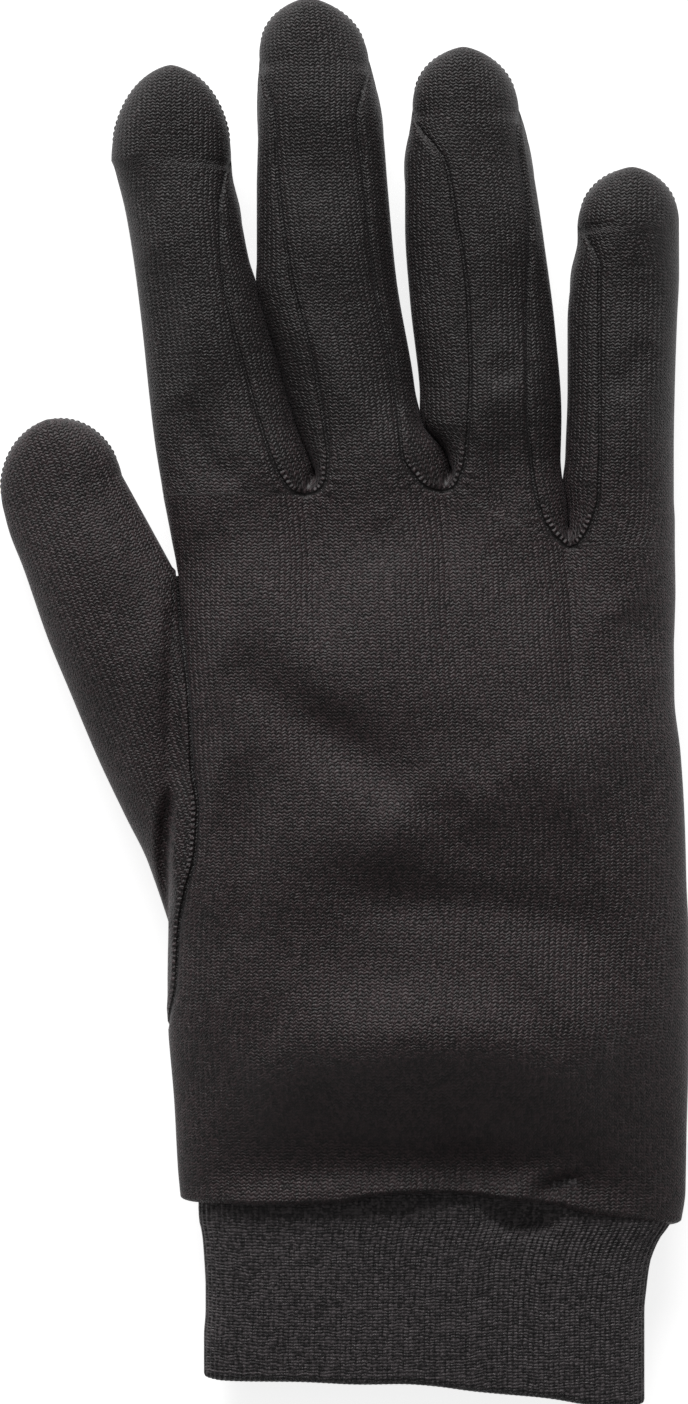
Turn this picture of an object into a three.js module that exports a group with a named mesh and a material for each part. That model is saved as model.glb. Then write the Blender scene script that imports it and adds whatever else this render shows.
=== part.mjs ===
// A thin knitted glove liner: a right-hand glove lying flat on its palm, lightly puffed, with its cuff.
// Units are millimetres. +Y runs to the fingertips, +Z is up, and the thumb lies on the -X side.
// The whole glove is first worked out as one outer skin made of patches. Each patch is then given a wall
// on its inner side and a seam gap along its edges, so that every piece of cloth is a solid of its own.
import * as THREE from 'three';

// Driving dimensions of the hand
const indexRootWidth = 25.7; // width of the index finger at its root, from the fold to the crotch
const middleRootWidth = 24.9; // from crotch to crotch
const ringRootWidth = 22.8;
const littleRootWidth = 19.7;
const handLength = 128.3; // from the crotch beside the index finger to the lowest point of the blouse
const outerHandLength = 122.6; // the same at the little finger's side
const ringCrotchRise = 0.6; // how far the middle crotch lies above the first
const littleCrotchDrop = 9.5; // how far the crotch beside the little finger lies below the first
const handHalfHeight = 9.6; // half the puffed height of the hand
const knuckleHalfHeight = 8.6; // half the height where the fingers start
const knuckleBlend = 24; // length over which the finger tops melt into the back of the hand
const sideFullness = 2.7; // how square the hand's section is: 2 is an ellipse

// Driving dimensions of the fingers: length from the root to the round end, and length of that end
const indexBody = 61.2;
const middleBody = 79.2;
const ringBody = 74.9;
const littleBody = 58.9;
const indexCap = 16.9;
const middleCap = 10.7;
const ringCap = 10.9;
const littleCap = 10.2;
const fingerHalfHeight = 6.3;
const knuckleRise = 30; // length over which a finger's height falls from the knuckle's to its own
const crackGap = 0.6; // space between two fingers that press together
const crackRise = 4; // how far the foot of the crack lies beyond the crotch seam

// Driving dimensions of the thumb
const thumbOpeningStart = 14.4; // from the index finger's root, along the hand's edge
const thumbOpeningLength = 81.5;
const thumbWidth = 24;
const thumbLean = 23; // degrees from the fingers' direction
const thumbReach = 35.5; // from the start of the opening to the thumb's tip, along the leaning axis
const thumbTipOut = 10.8; // how far the tip lies to the outer side of that axis
const thumbHalfHeight = 6.2;

// Driving dimensions of the cuff and the blouse above it
const cuffLength = 31.3; // on the thumb's side
const outerCuffLength = 32.8; // on the little finger's side
const cuffWidth = 79.9;
const cuffShift = 1.1; // how far the cuff's middle lies towards the little finger
const cuffHalfHeight = 5.2;
const blouseRadius = 4; // how far up the soft roll over the cuff's upper edge starts
const blouseInset = 3; // how far the cloth turns in below the roll, on each side

// Cloth
const clothWall = 1;
const cuffWall = 1.4; // two layers of rib
const seamGap = 0.3; // between two pieces of cloth that are sewn together
const foldHeight = 1.5; // of the deepest fold
const bottomFullness = 1.14; // how far the underside is pressed flat

// Mesh steps
const backColumns = 6; // across each finger
const palmColumns = 4;
const stripColumns = 4; // across a fourchette
const capSteps = [60, 36, 15]; // degrees from the tip's axis, before the tip itself
const rowsAboveThumb = 3;
const rowsAtThumb = 11;
const rowsBelowThumb = 3;
const rollSteps = [30, 60, 90];
const cuffRows = 5;

const palmWidth = indexRootWidth + middleRootWidth + ringRootWidth + littleRootWidth;
const crotchAngle = 45; // how far round the section the seams meet at a crotch, in degrees
const lowerSeamAngle = 45; // how far round the section the palm side seams run
const seamLimit = 0.99; // how near a seam may come to the section's edge, as a share of its half width

// Finger sections. along: share of the body length from the root. The other columns are places across,
// as shares of the root width from the root's middle: the outline's edges and the two back seams.
const indexSections = [
  { along: 0, left: -0.5, seamLeft: -0.5, seamRight: 0.5, right: 0.58 },
  { along: 0.03, left: -0.51, seamLeft: -0.51, seamRight: 0.4, right: 0.57 },
  { along: 0.08, left: -0.53, seamLeft: -0.53, seamRight: 0.3, right: 0.54 },
  { along: 0.16, left: -0.56, seamLeft: -0.56, seamRight: 0.23, right: 0.47 },
  { along: 0.3, left: -0.6, seamLeft: -0.6, seamRight: 0.13, right: 0.38 },
  { along: 0.5, left: -0.65, seamLeft: -0.65, seamRight: 0, right: 0.26 },
  { along: 0.7, left: -0.71, seamLeft: -0.71, seamRight: -0.08, right: 0.11 },
  { along: 0.85, left: -0.77, seamLeft: -0.77, seamRight: -0.09, right: 0.04 },
  { along: 0.95, left: -0.83, seamLeft: -0.83, seamRight: -0.11, right: -0.01 },
  { along: 1, left: -0.87, seamLeft: -0.87, seamRight: -0.02, right: -0.02 },
];
const middleSections = [
  { along: 0, left: -0.41, seamLeft: -0.5, seamRight: 0.5, right: 0.58 },
  { along: 0.03, left: -0.44, seamLeft: -0.35, seamRight: 0.32, right: 0.56 },
  { along: 0.08, left: -0.49, seamLeft: -0.33, seamRight: 0.21, right: 0.51 },
  { along: 0.16, left: -0.56, seamLeft: -0.36, seamRight: 0.19, right: 0.35 },
  { along: 0.3, left: -0.69, seamLeft: -0.44, seamRight: 0.13, right: 0.28 },
  { along: 0.5, left: -0.85, seamLeft: -0.6, seamRight: 0.01, right: 0.17 },
  { along: 0.7, left: -0.85, seamLeft: -0.69, seamRight: -0.06, right: 0.11 },
  { along: 0.85, left: -0.84, seamLeft: -0.72, seamRight: -0.11, right: 0.07 },
  { along: 0.95, left: -0.84, seamLeft: -0.74, seamRight: -0.1, right: 0.01 },
  { along: 1, left: -0.83, seamLeft: -0.83, seamRight: -0.03, right: -0.03 },
];
const ringSections = [
  { along: 0, left: -0.41, seamLeft: -0.5, seamRight: 0.5, right: 0.51 },
  { along: 0.03, left: -0.43, seamLeft: -0.38, seamRight: 0.36, right: 0.51 },
  { along: 0.08, left: -0.48, seamLeft: -0.32, seamRight: 0.28, right: 0.5 },
  { along: 0.16, left: -0.65, seamLeft: -0.3, seamRight: 0.22, right: 0.45 },
  { along: 0.3, left: -0.68, seamLeft: -0.28, seamRight: 0.18, right: 0.46 },
  { along: 0.5, left: -0.75, seamLeft: -0.3, seamRight: 0.18, right: 0.41 },
  { along: 0.7, left: -0.79, seamLeft: -0.39, seamRight: 0.2, right: 0.32 },
  { along: 0.85, left: -0.79, seamLeft: -0.48, seamRight: 0.14, right: 0.24 },
  { along: 0.95, left: -0.75, seamLeft: -0.64, seamRight: 0.06, right: 0.17 },
  { along: 1, left: -0.73, seamLeft: -0.73, seamRight: 0.12, right: 0.12 },
];
const littleSections = [
  { along: 0, left: -0.49, seamLeft: -0.5, seamRight: 0.5, right: 0.5 },
  { along: 0.03, left: -0.49, seamLeft: -0.37, seamRight: 0.5, right: 0.5 },
  { along: 0.08, left: -0.49, seamLeft: -0.29, seamRight: 0.5, right: 0.5 },
  { along: 0.16, left: -0.52, seamLeft: -0.23, seamRight: 0.49, right: 0.49 },
  { along: 0.3, left: -0.51, seamLeft: -0.22, seamRight: 0.49, right: 0.49 },
  { along: 0.5, left: -0.49, seamLeft: -0.22, seamRight: 0.5, right: 0.5 },
  { along: 0.7, left: -0.49, seamLeft: -0.22, seamRight: 0.52, right: 0.52 },
  { along: 0.85, left: -0.45, seamLeft: -0.22, seamRight: 0.54, right: 0.54 },
  { along: 0.95, left: -0.4, seamLeft: -0.27, seamRight: 0.54, right: 0.54 },
  { along: 1, left: -0.4, seamLeft: -0.4, seamRight: 0.54, right: 0.54 },
];
// The fingers. tip: place of the tip across, as a share of the root width from the root's middle.
const fingers = [
  { name: 'index', width: indexRootWidth, body: indexBody, cap: indexCap, tip: -0.44 },
  { name: 'middle', width: middleRootWidth, body: middleBody, cap: middleCap, tip: -0.47 },
  { name: 'ring', width: ringRootWidth, body: ringBody, cap: ringCap, tip: -0.33 },
  { name: 'little', width: littleRootWidth, body: littleBody, cap: littleCap, tip: 0.09 },
];
const fingerSections = [indexSections, middleSections, ringSections, littleSections];

// Hand sections. along: share of the hand's length. left, seam, right: places as shares of the palm's
// width, left and seam from the index finger's fold and right from the little finger's fold. seam is the
// back panel's edge beside the thumb. height: share of the hand's half height.
const handSections = [
  { along: 0, left: 0, seam: 0, right: 0, height: 0.9 },
  { along: 0.06, left: 0.016, seam: 0.016, right: 0.001, height: 0.92 },
  { along: 0.11, left: 0.027, seam: 0.027, right: -0.001, height: 0.94 },
  { along: 0.15, left: 0.025, seam: 0.031, right: -0.003, height: 0.96 },
  { along: 0.22, left: 0.019, seam: 0.043, right: -0.003, height: 0.98 },
  { along: 0.3, left: 0.014, seam: 0.053, right: 0.008, height: 1 },
  { along: 0.38, left: 0.011, seam: 0.058, right: 0.015, height: 1 },
  { along: 0.44, left: 0.01, seam: 0.07, right: 0.018, height: 1 },
  { along: 0.5, left: 0.009, seam: 0.066, right: 0.02, height: 1 },
  { along: 0.56, left: 0.008, seam: 0.046, right: 0.024, height: 1 },
  { along: 0.61, left: 0.008, seam: 0.033, right: 0.026, height: 0.99 },
  { along: 0.69, left: 0.006, seam: 0.026, right: 0.026, height: 0.97 },
  { along: 0.75, left: 0.01, seam: 0.01, right: 0.025, height: 0.94 },
  { along: 0.86, left: 0.022, seam: 0.022, right: 0.022, height: 0.88 },
  { along: 0.95, left: 0.028, seam: 0.028, right: 0.021, height: 0.83 },
  { along: 1, left: 0.034, seam: 0.034, right: 0.012, height: 0.8 },
];

// Thumb rings from the opening to the round end. right, left: shares of the way along the thumb's two
// edges. hollow: how far the outer edge sinks, as a share of the width. height: share of the thumb's half
// height. settle: share of the way down from the hand's middle height to the floor.
const thumbRings = [
  { right: 0.1, left: 0.168, hollow: 0.24, height: 0.75, settle: 0.3 },
  { right: 0.2, left: 0.283, hollow: 0.23, height: 0.95, settle: 0.6 },
  { right: 0.32, left: 0.386, hollow: 0.17, height: 1, settle: 0.8 },
  { right: 0.44, left: 0.505, hollow: 0.105, height: 1, settle: 0.95 },
  { right: 0.56, left: 0.631, hollow: 0.06, height: 1, settle: 1 },
  { right: 0.66, left: 0.758, hollow: 0.02, height: 1, settle: 1 },
  { right: 0.76, left: 0.873, hollow: 0.01, height: 1, settle: 1 },
  { right: 0.88, left: 0.949, hollow: -0.01, height: 1, settle: 1 },
  { right: 1, left: 1, hollow: 0, height: 1, settle: 1 },
];
const thumbCapRight = { along: 0.59, out: 0.09 }; // where the round end starts, shares of reach and width
const thumbCapLeft = { along: 0.68, out: 1.02 };

// Folds of the cloth on the back: from one place to another, as shares of the palm's width from the index
// finger's fold and of the hand's length below the crotch line (fingers are above it, so negative).
// width: share of the palm's width. height: share of foldHeight, negative in a valley.
const folds = [
  { x0: 0.15, y0: 0.217, x1: 0.4, y1: 0.38, width: 0.04, height: -0.8 },
  { x0: 0.17, y0: 0.416, x1: 0.52, y1: 0.36, width: 0.04, height: 0.7 },
  { x0: 0.52, y0: 0.36, x1: 0.66, y1: 0.29, width: 0.04, height: 0.6 },
  { x0: 0.58, y0: 0.47, x1: 0.72, y1: 0.32, width: 0.035, height: 0.6 },
  { x0: 0.37, y0: 0.523, x1: 0.86, y1: 0.55, width: 0.035, height: -1 },
  { x0: 0.64, y0: 0.58, x1: 0.97, y1: 0.84, width: 0.04, height: 0.6 },
  { x0: 0.25, y0: 0.88, x1: 0.93, y1: 0.88, width: 0.05, height: -0.8 },
  { x0: 0.16, y0: 0.36, x1: 0.16, y1: 0.64, width: 0.03, height: -0.6 },
  { x0: 0.11, y0: 0.33, x1: 0.11, y1: 0.47, width: 0.03, height: 0.6 },
  { x0: 0.89, y0: 0.145, x1: 0.97, y1: 0.217, width: 0.035, height: -0.6 },
  { x0: 0.3, y0: 0.68, x1: 0.85, y1: 0.68, width: 0.08, height: 0.8 },
  { x0: -0.02, y0: -0.35, x1: 0.03, y1: -0.14, width: 0.03, height: -0.5 },
  { x0: 0.03, y0: -0.14, x1: 0.15, y1: -0.03, width: 0.03, height: -0.5 },
  { x0: 0.26, y0: -0.27, x1: 0.39, y1: -0.11, width: 0.03, height: 0.4 },
  { x0: 0.64, y0: -0.18, x1: 0.7, y1: -0.2, width: 0.03, height: -0.5 },
  { x0: 0.88, y0: -0.15, x1: 0.95, y1: -0.23, width: 0.03, height: -0.5 },
];

const cos = (degrees) => Math.cos(THREE.MathUtils.degToRad(degrees));
const sin = (degrees) => Math.sin(THREE.MathUtils.degToRad(degrees));
const mix = (a, b, share) => a + (b - a) * share;
const ease = (share) => THREE.MathUtils.smoothstep(share, 0, 1);

// Reads a column of a table at any place: a smooth curve through its rows that never overshoots them.
function readTable(rows, key, column, at) {
  const last = rows.length - 1;
  if (at <= rows[0][key]) return rows[0][column];
  if (at >= rows[last][key]) return rows[last][column];
  const slope = (i) => (rows[i + 1][column] - rows[i][column]) / (rows[i + 1][key] - rows[i][key]);
  const tangent = (i) => {
    if (i === 0) return slope(0);
    if (i === last) return slope(last - 1);
    const before = slope(i - 1);
    const after = slope(i);
    return before * after <= 0 ? 0 : (2 * before * after) / (before + after);
  };
  let k = 0;
  while (rows[k + 1][key] < at) k += 1;
  const step = rows[k + 1][key] - rows[k][key];
  const t = (at - rows[k][key]) / step;
  const startWeight = (1 + 2 * t) * (1 - t) ** 2;
  const endWeight = t * t * (3 - 2 * t);
  const startTangent = t * (1 - t) ** 2 * step * tangent(k);
  const endTangent = t * t * (t - 1) * step * tangent(k + 1);
  return startWeight * rows[k][column] + endWeight * rows[k + 1][column] + startTangent + endTangent;
}

// The fingers' roots, chained from the index finger's fold at x = 0 on the line y = 0.
const crotches = [
  new THREE.Vector2(indexRootWidth, 0),
  new THREE.Vector2(indexRootWidth + middleRootWidth, ringCrotchRise),
  new THREE.Vector2(palmWidth - littleRootWidth, -littleCrotchDrop),
];
const roots = [new THREE.Vector2(0, 0), ...crotches, new THREE.Vector2(palmWidth, -littleCrotchDrop)];
fingers.forEach((finger, f) => {
  finger.sections = fingerSections[f];
  finger.rootLeft = roots[f];
  finger.rootRight = roots[f + 1];
  finger.middle = (roots[f].x + roots[f + 1].x) / 2;
  finger.top = mix(roots[f].y, roots[f + 1].y, 0.5) + finger.body;
});

// Height along a finger's side at a share of its body. At a crotch the crack's foot lies above the seam.
function sideHeight(finger, side, along) {
  const root = side === 'left' ? finger.rootLeft : finger.rootRight;
  return mix(root.y, finger.top, along);
}
function hasStrip(f, side) {
  return side === 'left' ? f > 0 : f < fingers.length - 1;
}
const crackFade = 0.3; // share of the body over which the crack's rise dies out
function edgeHeight(f, side, along) {
  const rise = hasStrip(f, side) ? crackRise * Math.max(0, 1 - along / crackFade) ** 2 : 0;
  return sideHeight(fingers[f], side, along) + rise;
}

// Outline edge of a finger at a height: the table's place, held back where it meets its neighbour's.
function tableEdge(f, side, y) {
  const finger = fingers[f];
  const knots = finger.sections.map((row) => ({
    y: edgeHeight(f, side, row.along),
    x: finger.middle + row[side] * finger.width,
  }));
  return readTable(knots, 'y', 'x', y);
}
function edgePlace(f, side, y) {
  const own = tableEdge(f, side, y);
  const neighbour = side === 'left' ? f - 1 : f + 1;
  if (!hasStrip(f, side) || y > fingers[neighbour].top) return own;
  const other = tableEdge(neighbour, side === 'left' ? 'right' : 'left', y);
  const half = crackGap / 2;
  const middle = (own + other) / 2;
  return side === 'left' ? Math.max(own, middle + half) : Math.min(own, middle - half);
}
const crackFeet = crotches.map((crotch, k) => {
  const y = crotch.y + crackRise;
  return new THREE.Vector2((tableEdge(k, 'right', y) + tableEdge(k + 1, 'left', y)) / 2, y);
});

// Height added by the folds at a place in the plan.
function foldRelief(x, y) {
  let sum = 0;
  for (const fold of folds) {
    const from = new THREE.Vector2(fold.x0 * palmWidth, -fold.y0 * handLength);
    const to = new THREE.Vector2(fold.x1 * palmWidth, -fold.y1 * handLength);
    const along = to.clone().sub(from);
    const share = THREE.MathUtils.clamp(
      new THREE.Vector2(x, y).sub(from).dot(along) / along.lengthSq(), 0, 1);
    const distance = from.addScaledVector(along, share).distanceTo(new THREE.Vector2(x, y));
    sum += fold.height * Math.exp(-((distance / (fold.width * palmWidth)) ** 2));
  }
  return sum * foldHeight;
}

// How far below its middle a section reaches, as a share of its half height, where its back rises by upper.
const lowerExponent = 0.8; // under 1 squares the underside
const lowerShare = (upper) => Math.min(1, bottomFullness * Math.max(0, upper) ** lowerExponent);

// One row across a finger: its outline edges, its seams, and how far round the section each seam lies.
function fingerRow(f, along) {
  const finger = fingers[f];
  const row = { upper: [], lower: [] };
  row.edges = ['left', 'right'].map((side) => {
    if (along === 0 && hasStrip(f, side)) return crackFeet[side === 'left' ? f - 1 : f].clone();
    const y = edgeHeight(f, side, along);
    return new THREE.Vector2(edgePlace(f, side, y), y);
  });
  const width = row.edges[1].x - row.edges[0].x;
  ['left', 'right'].forEach((side, k) => {
    const outer = k === 0 ? 180 : 0;
    const inward = k === 0 ? -1 : 1;
    if (!hasStrip(f, side) || along >= 1) {
      row.upper.push({ place: row.edges[k].clone(), angle: outer });
      row.lower.push({ place: row.edges[k].clone(), angle: outer });
      return;
    }
    if (along === 0) {
      const crotch = roots[side === 'left' ? f : f + 1].clone();
      row.upper.push({ place: crotch, angle: outer + inward * crotchAngle });
      row.lower.push({ place: crotch.clone(), angle: outer + inward * lowerSeamAngle });
      return;
    }
    const y = sideHeight(finger, side, along);
    const column = side === 'left' ? 'seamLeft' : 'seamRight';
    const x = finger.middle + readTable(finger.sections, 'along', column, along) * finger.width;
    const share = THREE.MathUtils.clamp((2 * (x - row.edges[0].x)) / width - 1, -seamLimit, seamLimit);
    row.upper.push({ place: new THREE.Vector2(x, y), angle: THREE.MathUtils.radToDeg(Math.acos(share)) });
    const lower = row.edges[0].clone().lerp(row.edges[1], (1 + inward * cos(lowerSeamAngle)) / 2);
    lower.y = y;
    row.lower.push({ place: lower, angle: outer + inward * lowerSeamAngle });
  });
  const rise = ease((along * finger.body) / knuckleRise);
  row.half = mix(knuckleHalfHeight, fingerHalfHeight, rise);
  return row;
}

// A point of a finger's panel. t runs from its left seam to its right seam, above or below.
function panelPoint(row, t, above) {
  const [left, right] = above ? row.upper : row.lower;
  const angle = mix(left.angle, right.angle, t);
  const share = (cos(angle) - cos(left.angle)) / (cos(right.angle) - cos(left.angle));
  const place = left.place.clone().lerp(right.place, share);
  const height = sin(angle);
  if (above) {
    const z = row.half * (1 + height) + foldRelief(place.x, place.y) * height;
    return new THREE.Vector3(place.x, place.y, z);
  }
  return new THREE.Vector3(place.x, place.y, row.half * (1 - lowerShare(height)));
}

// A point of a fourchette beside a finger. t runs from the back seam round the edge to the palm seam.
function stripPoint(row, k, t) {
  const edge = row.edges[k];
  const above = t < 0.5;
  const seam = above ? row.upper[k] : row.lower[k];
  const reach = above ? 1 - 2 * t : 2 * t - 1;
  const outer = k === 0 ? 180 : 0;
  const seamTurn = Math.abs(seam.angle - outer);
  const turn = seamTurn * reach;
  const share = seamTurn === 0 ? 0 : (1 - cos(turn)) / (1 - cos(seamTurn));
  const place = edge.clone().lerp(seam.place, share);
  const height = sin(turn);
  if (above) {
    const z = row.half * (1 + height) + foldRelief(place.x, place.y) * height;
    return new THREE.Vector3(place.x, place.y, z);
  }
  return new THREE.Vector3(place.x, place.y, row.half * (1 - lowerShare(height)));
}

// The rows of a finger: its table's rows, then the round end, which closes on the tip.
function fingerRows(f) {
  return fingers[f].sections.map((section) => fingerRow(f, section.along));
}
function capPoint(f, row, angle, t, above) {
  const finger = fingers[f];
  const tip = new THREE.Vector3(finger.middle + finger.tip * finger.width, finger.top + finger.cap, row.half);
  const point = panelPoint(row, t, above);
  const middle = new THREE.Vector3((row.edges[0].x + row.edges[1].x) / 2, finger.top, row.half);
  const axis = tip.clone().sub(middle);
  return middle.clone().addScaledVector(axis, cos(angle)).addScaledVector(point.sub(middle), sin(angle));
}
function fingerGrid(f, above) {
  const columns = above ? backColumns : palmColumns;
  const rows = fingerRows(f);
  const grid = rows.map((row) => {
    return Array.from({ length: columns + 1 }, (_, j) => panelPoint(row, j / columns, above));
  });
  const top = rows[rows.length - 1];
  for (const angle of [...capSteps, 0]) {
    grid.push(Array.from({ length: columns + 1 }, (_, j) => capPoint(f, top, angle, j / columns, above)));
  }
  return grid;
}

// The hand's rows: the row at the crotches, then down past the thumb's opening to the blouse's roll.
const openingStart = thumbOpeningStart / handLength;
const openingEnd = (thumbOpeningStart + thumbOpeningLength) / handLength;
const rollStart = 1 - blouseRadius / handLength;
function spread(from, to, count) {
  return Array.from({ length: count }, (_, k) => mix(from, to, k / count));
}
const handRows = [
  ...spread(0, openingStart, rowsAboveThumb),
  ...spread(openingStart, openingEnd, rowsAtThumb),
  ...spread(openingEnd, rollStart, rowsBelowThumb),
  rollStart,
];
const openingRows = { first: rowsAboveThumb, last: rowsAboveThumb + rowsAtThumb };

// A point of the hand's back or palm. root is the same column's point on the crotch row.
function handPoint(root, along, rollAngle, above) {
  const read = (column) => readTable(handSections, 'along', column, along);
  const inset = blouseInset * (1 - cos(rollAngle));
  const inOpening = along > openingStart && along < openingEnd;
  const left = read('left') * palmWidth + inset;
  const seam = inOpening ? Math.max(left, read('seam') * palmWidth) : left;
  const right = palmWidth * (1 + read('right')) - inset;
  const across = root.x / palmWidth;
  const x = mix(seam, right, across);
  const hem = mix(-handLength, -littleCrotchDrop - outerHandLength, across);
  const y = mix(root.y, hem, along) - (rollAngle > 0 ? blouseRadius * sin(rollAngle) : 0);
  const place = THREE.MathUtils.clamp((2 * (x - left)) / (right - left) - 1, -1, 1);
  const full = Math.sqrt(Math.max(0, 1 - Math.abs(place) ** sideFullness));
  const blend = ease((along * handLength) / knuckleBlend);
  const handHalf = mix(read('height') * handHalfHeight, cuffHalfHeight, 1 - cos(rollAngle));
  const half = mix(knuckleHalfHeight, handHalf, blend);
  const height = mix(root.height, full, blend);
  const relief = foldRelief(x, y) * height * cos(rollAngle);
  const z = above ? half * (1 + height) + relief : half * (1 - lowerShare(height));
  return new THREE.Vector3(x, y, z);
}
function handGrid(above) {
  const columns = above ? backColumns : palmColumns;
  const root = [];
  fingers.forEach((finger, f) => {
    const row = fingerRow(f, 0);
    const [left, right] = above ? row.upper : row.lower;
    for (let j = f === 0 ? 0 : 1; j <= columns; j += 1) {
      const { x, y, z } = panelPoint(row, j / columns, above);
      root.push({ x, y, z, height: sin(mix(left.angle, right.angle, j / columns)) });
    }
  });
  const grid = [root.map(({ x, y, z }) => new THREE.Vector3(x, y, z))];
  for (const along of handRows.slice(1)) grid.push(root.map((point) => handPoint(point, along, 0, above)));
  for (const angle of rollSteps) grid.push(root.map((point) => handPoint(point, rollStart, angle, above)));
  return grid;
}

// The skin: every patch's points are kept once, so that neighbouring patches share their seams.
const skin = { points: [], keys: new Map(), faces: [] };
const weldStep = 1e-4;
function weld(point) {
  const key = [point.x, point.y, point.z].map((value) => Math.round(value / weldStep)).join();
  if (!skin.keys.has(key)) {
    skin.keys.set(key, skin.points.length);
    skin.points.push(point.clone());
  }
  return skin.keys.get(key);
}
function addFace(piece, a, b, c) {
  if (a !== b && b !== c && c !== a) skin.faces.push({ piece, corners: [a, b, c] });
}
function addPatch(piece, grid, flip) {
  const ids = grid.map((row) => row.map(weld));
  for (let i = 0; i + 1 < ids.length; i += 1) {
    for (let j = 0; j + 1 < ids[i].length; j += 1) {
      const quad = [ids[i][j], ids[i][j + 1], ids[i + 1][j + 1], ids[i + 1][j]];
      if (flip) quad.reverse();
      addFace(piece, quad[0], quad[1], quad[2]);
      addFace(piece, quad[0], quad[2], quad[3]);
    }
  }
}

// Back and palm panels
const backHand = handGrid(true);
const palmHand = handGrid(false);
addPatch('back_panel', backHand, true);
addPatch('palm_panel', palmHand, false);
fingers.forEach((finger, f) => {
  addPatch('back_panel', fingerGrid(f, true), false);
  addPatch('palm_panel', fingerGrid(f, false), true);
});

// Fourchettes: from one finger's end down to the crotch and up the next finger
for (let k = 0; k + 1 < fingers.length; k += 1) {
  const line = (row, side) => {
    return Array.from({ length: stripColumns + 1 }, (_, j) => stripPoint(row, side, j / stripColumns));
  };
  const down = fingerRows(k).reverse().map((row) => line(row, 1));
  const up = fingerRows(k + 1).slice(1).map((row) => line(row, 0));
  addPatch(`fourchette_${fingers[k].name}_${fingers[k + 1].name}`, [...down, ...up], true);
}

// Thumb: rings of points that start on the opening's loop and turn into a flattened tube
function thumbGrid() {
  const top = backHand.slice(openingRows.first, openingRows.last + 1).map((row) => row[0]);
  const under = palmHand.slice(openingRows.first, openingRows.last + 1).map((row) => row[0]);
  const count = top.length - 1;
  const origin = top[0];
  const end = top[count];
  const axis = new THREE.Vector2(-sin(thumbLean), cos(thumbLean));
  const out = new THREE.Vector2(-cos(thumbLean), -sin(thumbLean));
  const place = (along, away) => {
    return new THREE.Vector2(origin.x, origin.y).addScaledVector(axis, along).addScaledVector(out, away);
  };
  const capRight = place(thumbCapRight.along * thumbReach, thumbCapRight.out * thumbWidth);
  const capLeft = place(thumbCapLeft.along * thumbReach, thumbCapLeft.out * thumbWidth);
  const tip = place(thumbReach, thumbTipOut);
  const ring = (right, left, middle, half, even) => {
    const points = [];
    for (let i = 0; i < 2 * count; i += 1) {
      const k = i <= count ? i : 2 * count - i;
      const openingAngle = THREE.MathUtils.radToDeg(Math.acos(1 - (2 * k) / count));
      const angle = mix(openingAngle, (180 * k) / count, even);
      const plan = right.clone().lerp(left, (1 - cos(angle)) / 2);
      const above = i <= count;
      const z = above ? middle + half * sin(angle) : middle - half * lowerShare(sin(angle));
      points.push(new THREE.Vector3(plan.x, plan.y, Math.max(0, z)));
    }
    return points;
  };
  const grid = [[...top, ...under.slice(1, count).reverse()]];
  const openingMiddle = (origin.z + end.z) / 2;
  thumbRings.forEach((row, k) => {
    const right = new THREE.Vector2(origin.x, origin.y).lerp(capRight, row.right);
    const left = new THREE.Vector2(end.x, end.y).lerp(capLeft, row.left);
    left.addScaledVector(out, -row.hollow * thumbWidth);
    const height = mix(openingMiddle, thumbHalfHeight, row.settle);
    const even = (k + 1) / thumbRings.length;
    grid.push(ring(right, left, height, thumbHalfHeight * row.height, even));
  });
  const last = grid[grid.length - 1];
  const capMiddle = capRight.clone().lerp(capLeft, 0.5);
  const middle = new THREE.Vector3(capMiddle.x, capMiddle.y, thumbHalfHeight);
  const toTip = new THREE.Vector3(tip.x, tip.y, thumbHalfHeight).sub(middle);
  for (const angle of [...capSteps, 0]) {
    grid.push(last.map((point) => {
      const away = point.clone().sub(middle).multiplyScalar(sin(angle));
      return middle.clone().addScaledVector(toTip, cos(angle)).add(away);
    }));
  }
  return grid.map((points) => [...points, points[0]]);
}
addPatch('thumb', thumbGrid(), true);

// Rib cuff: from the blouse's inner edge to the open mouth
function cuffGrid() {
  const back = backHand[backHand.length - 1];
  const palm = palmHand[palmHand.length - 1];
  const top = [...back, ...palm.slice(1, palm.length - 1).reverse()];
  const start = back[0].x;
  const width = back[back.length - 1].x - start;
  const middle = palmWidth / 2 + cuffShift;
  const grid = [];
  for (let i = 0; i <= cuffRows; i += 1) {
    const along = i / cuffRows;
    const settle = ease(along * 2);
    grid.push(top.map((point) => {
      const across = (point.x - start) / width;
      const x = mix(point.x, middle + (across - 0.5) * cuffWidth, settle);
      return new THREE.Vector3(x, point.y - along * mix(cuffLength, outerCuffLength, across), point.z);
    }));
  }
  return grid.map((points) => [...points, points[0]]);
}
addPatch('rib_cuff', cuffGrid(), true);

// Normals of the whole skin, shared across the seams so that the walls of two pieces never cross.
const normals = skin.points.map(() => new THREE.Vector3());
for (const { corners } of skin.faces) {
  const [a, b, c] = corners.map((id) => skin.points[id]);
  const face = b.clone().sub(a).cross(c.clone().sub(a)).normalize();
  [[a, b, c], [b, c, a], [c, a, b]].forEach(([at, next, before], k) => {
    const angle = next.clone().sub(at).angleTo(before.clone().sub(at));
    normals[corners[k]].addScaledVector(face, angle);
  });
}
normals.forEach((normal) => normal.normalize());

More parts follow.
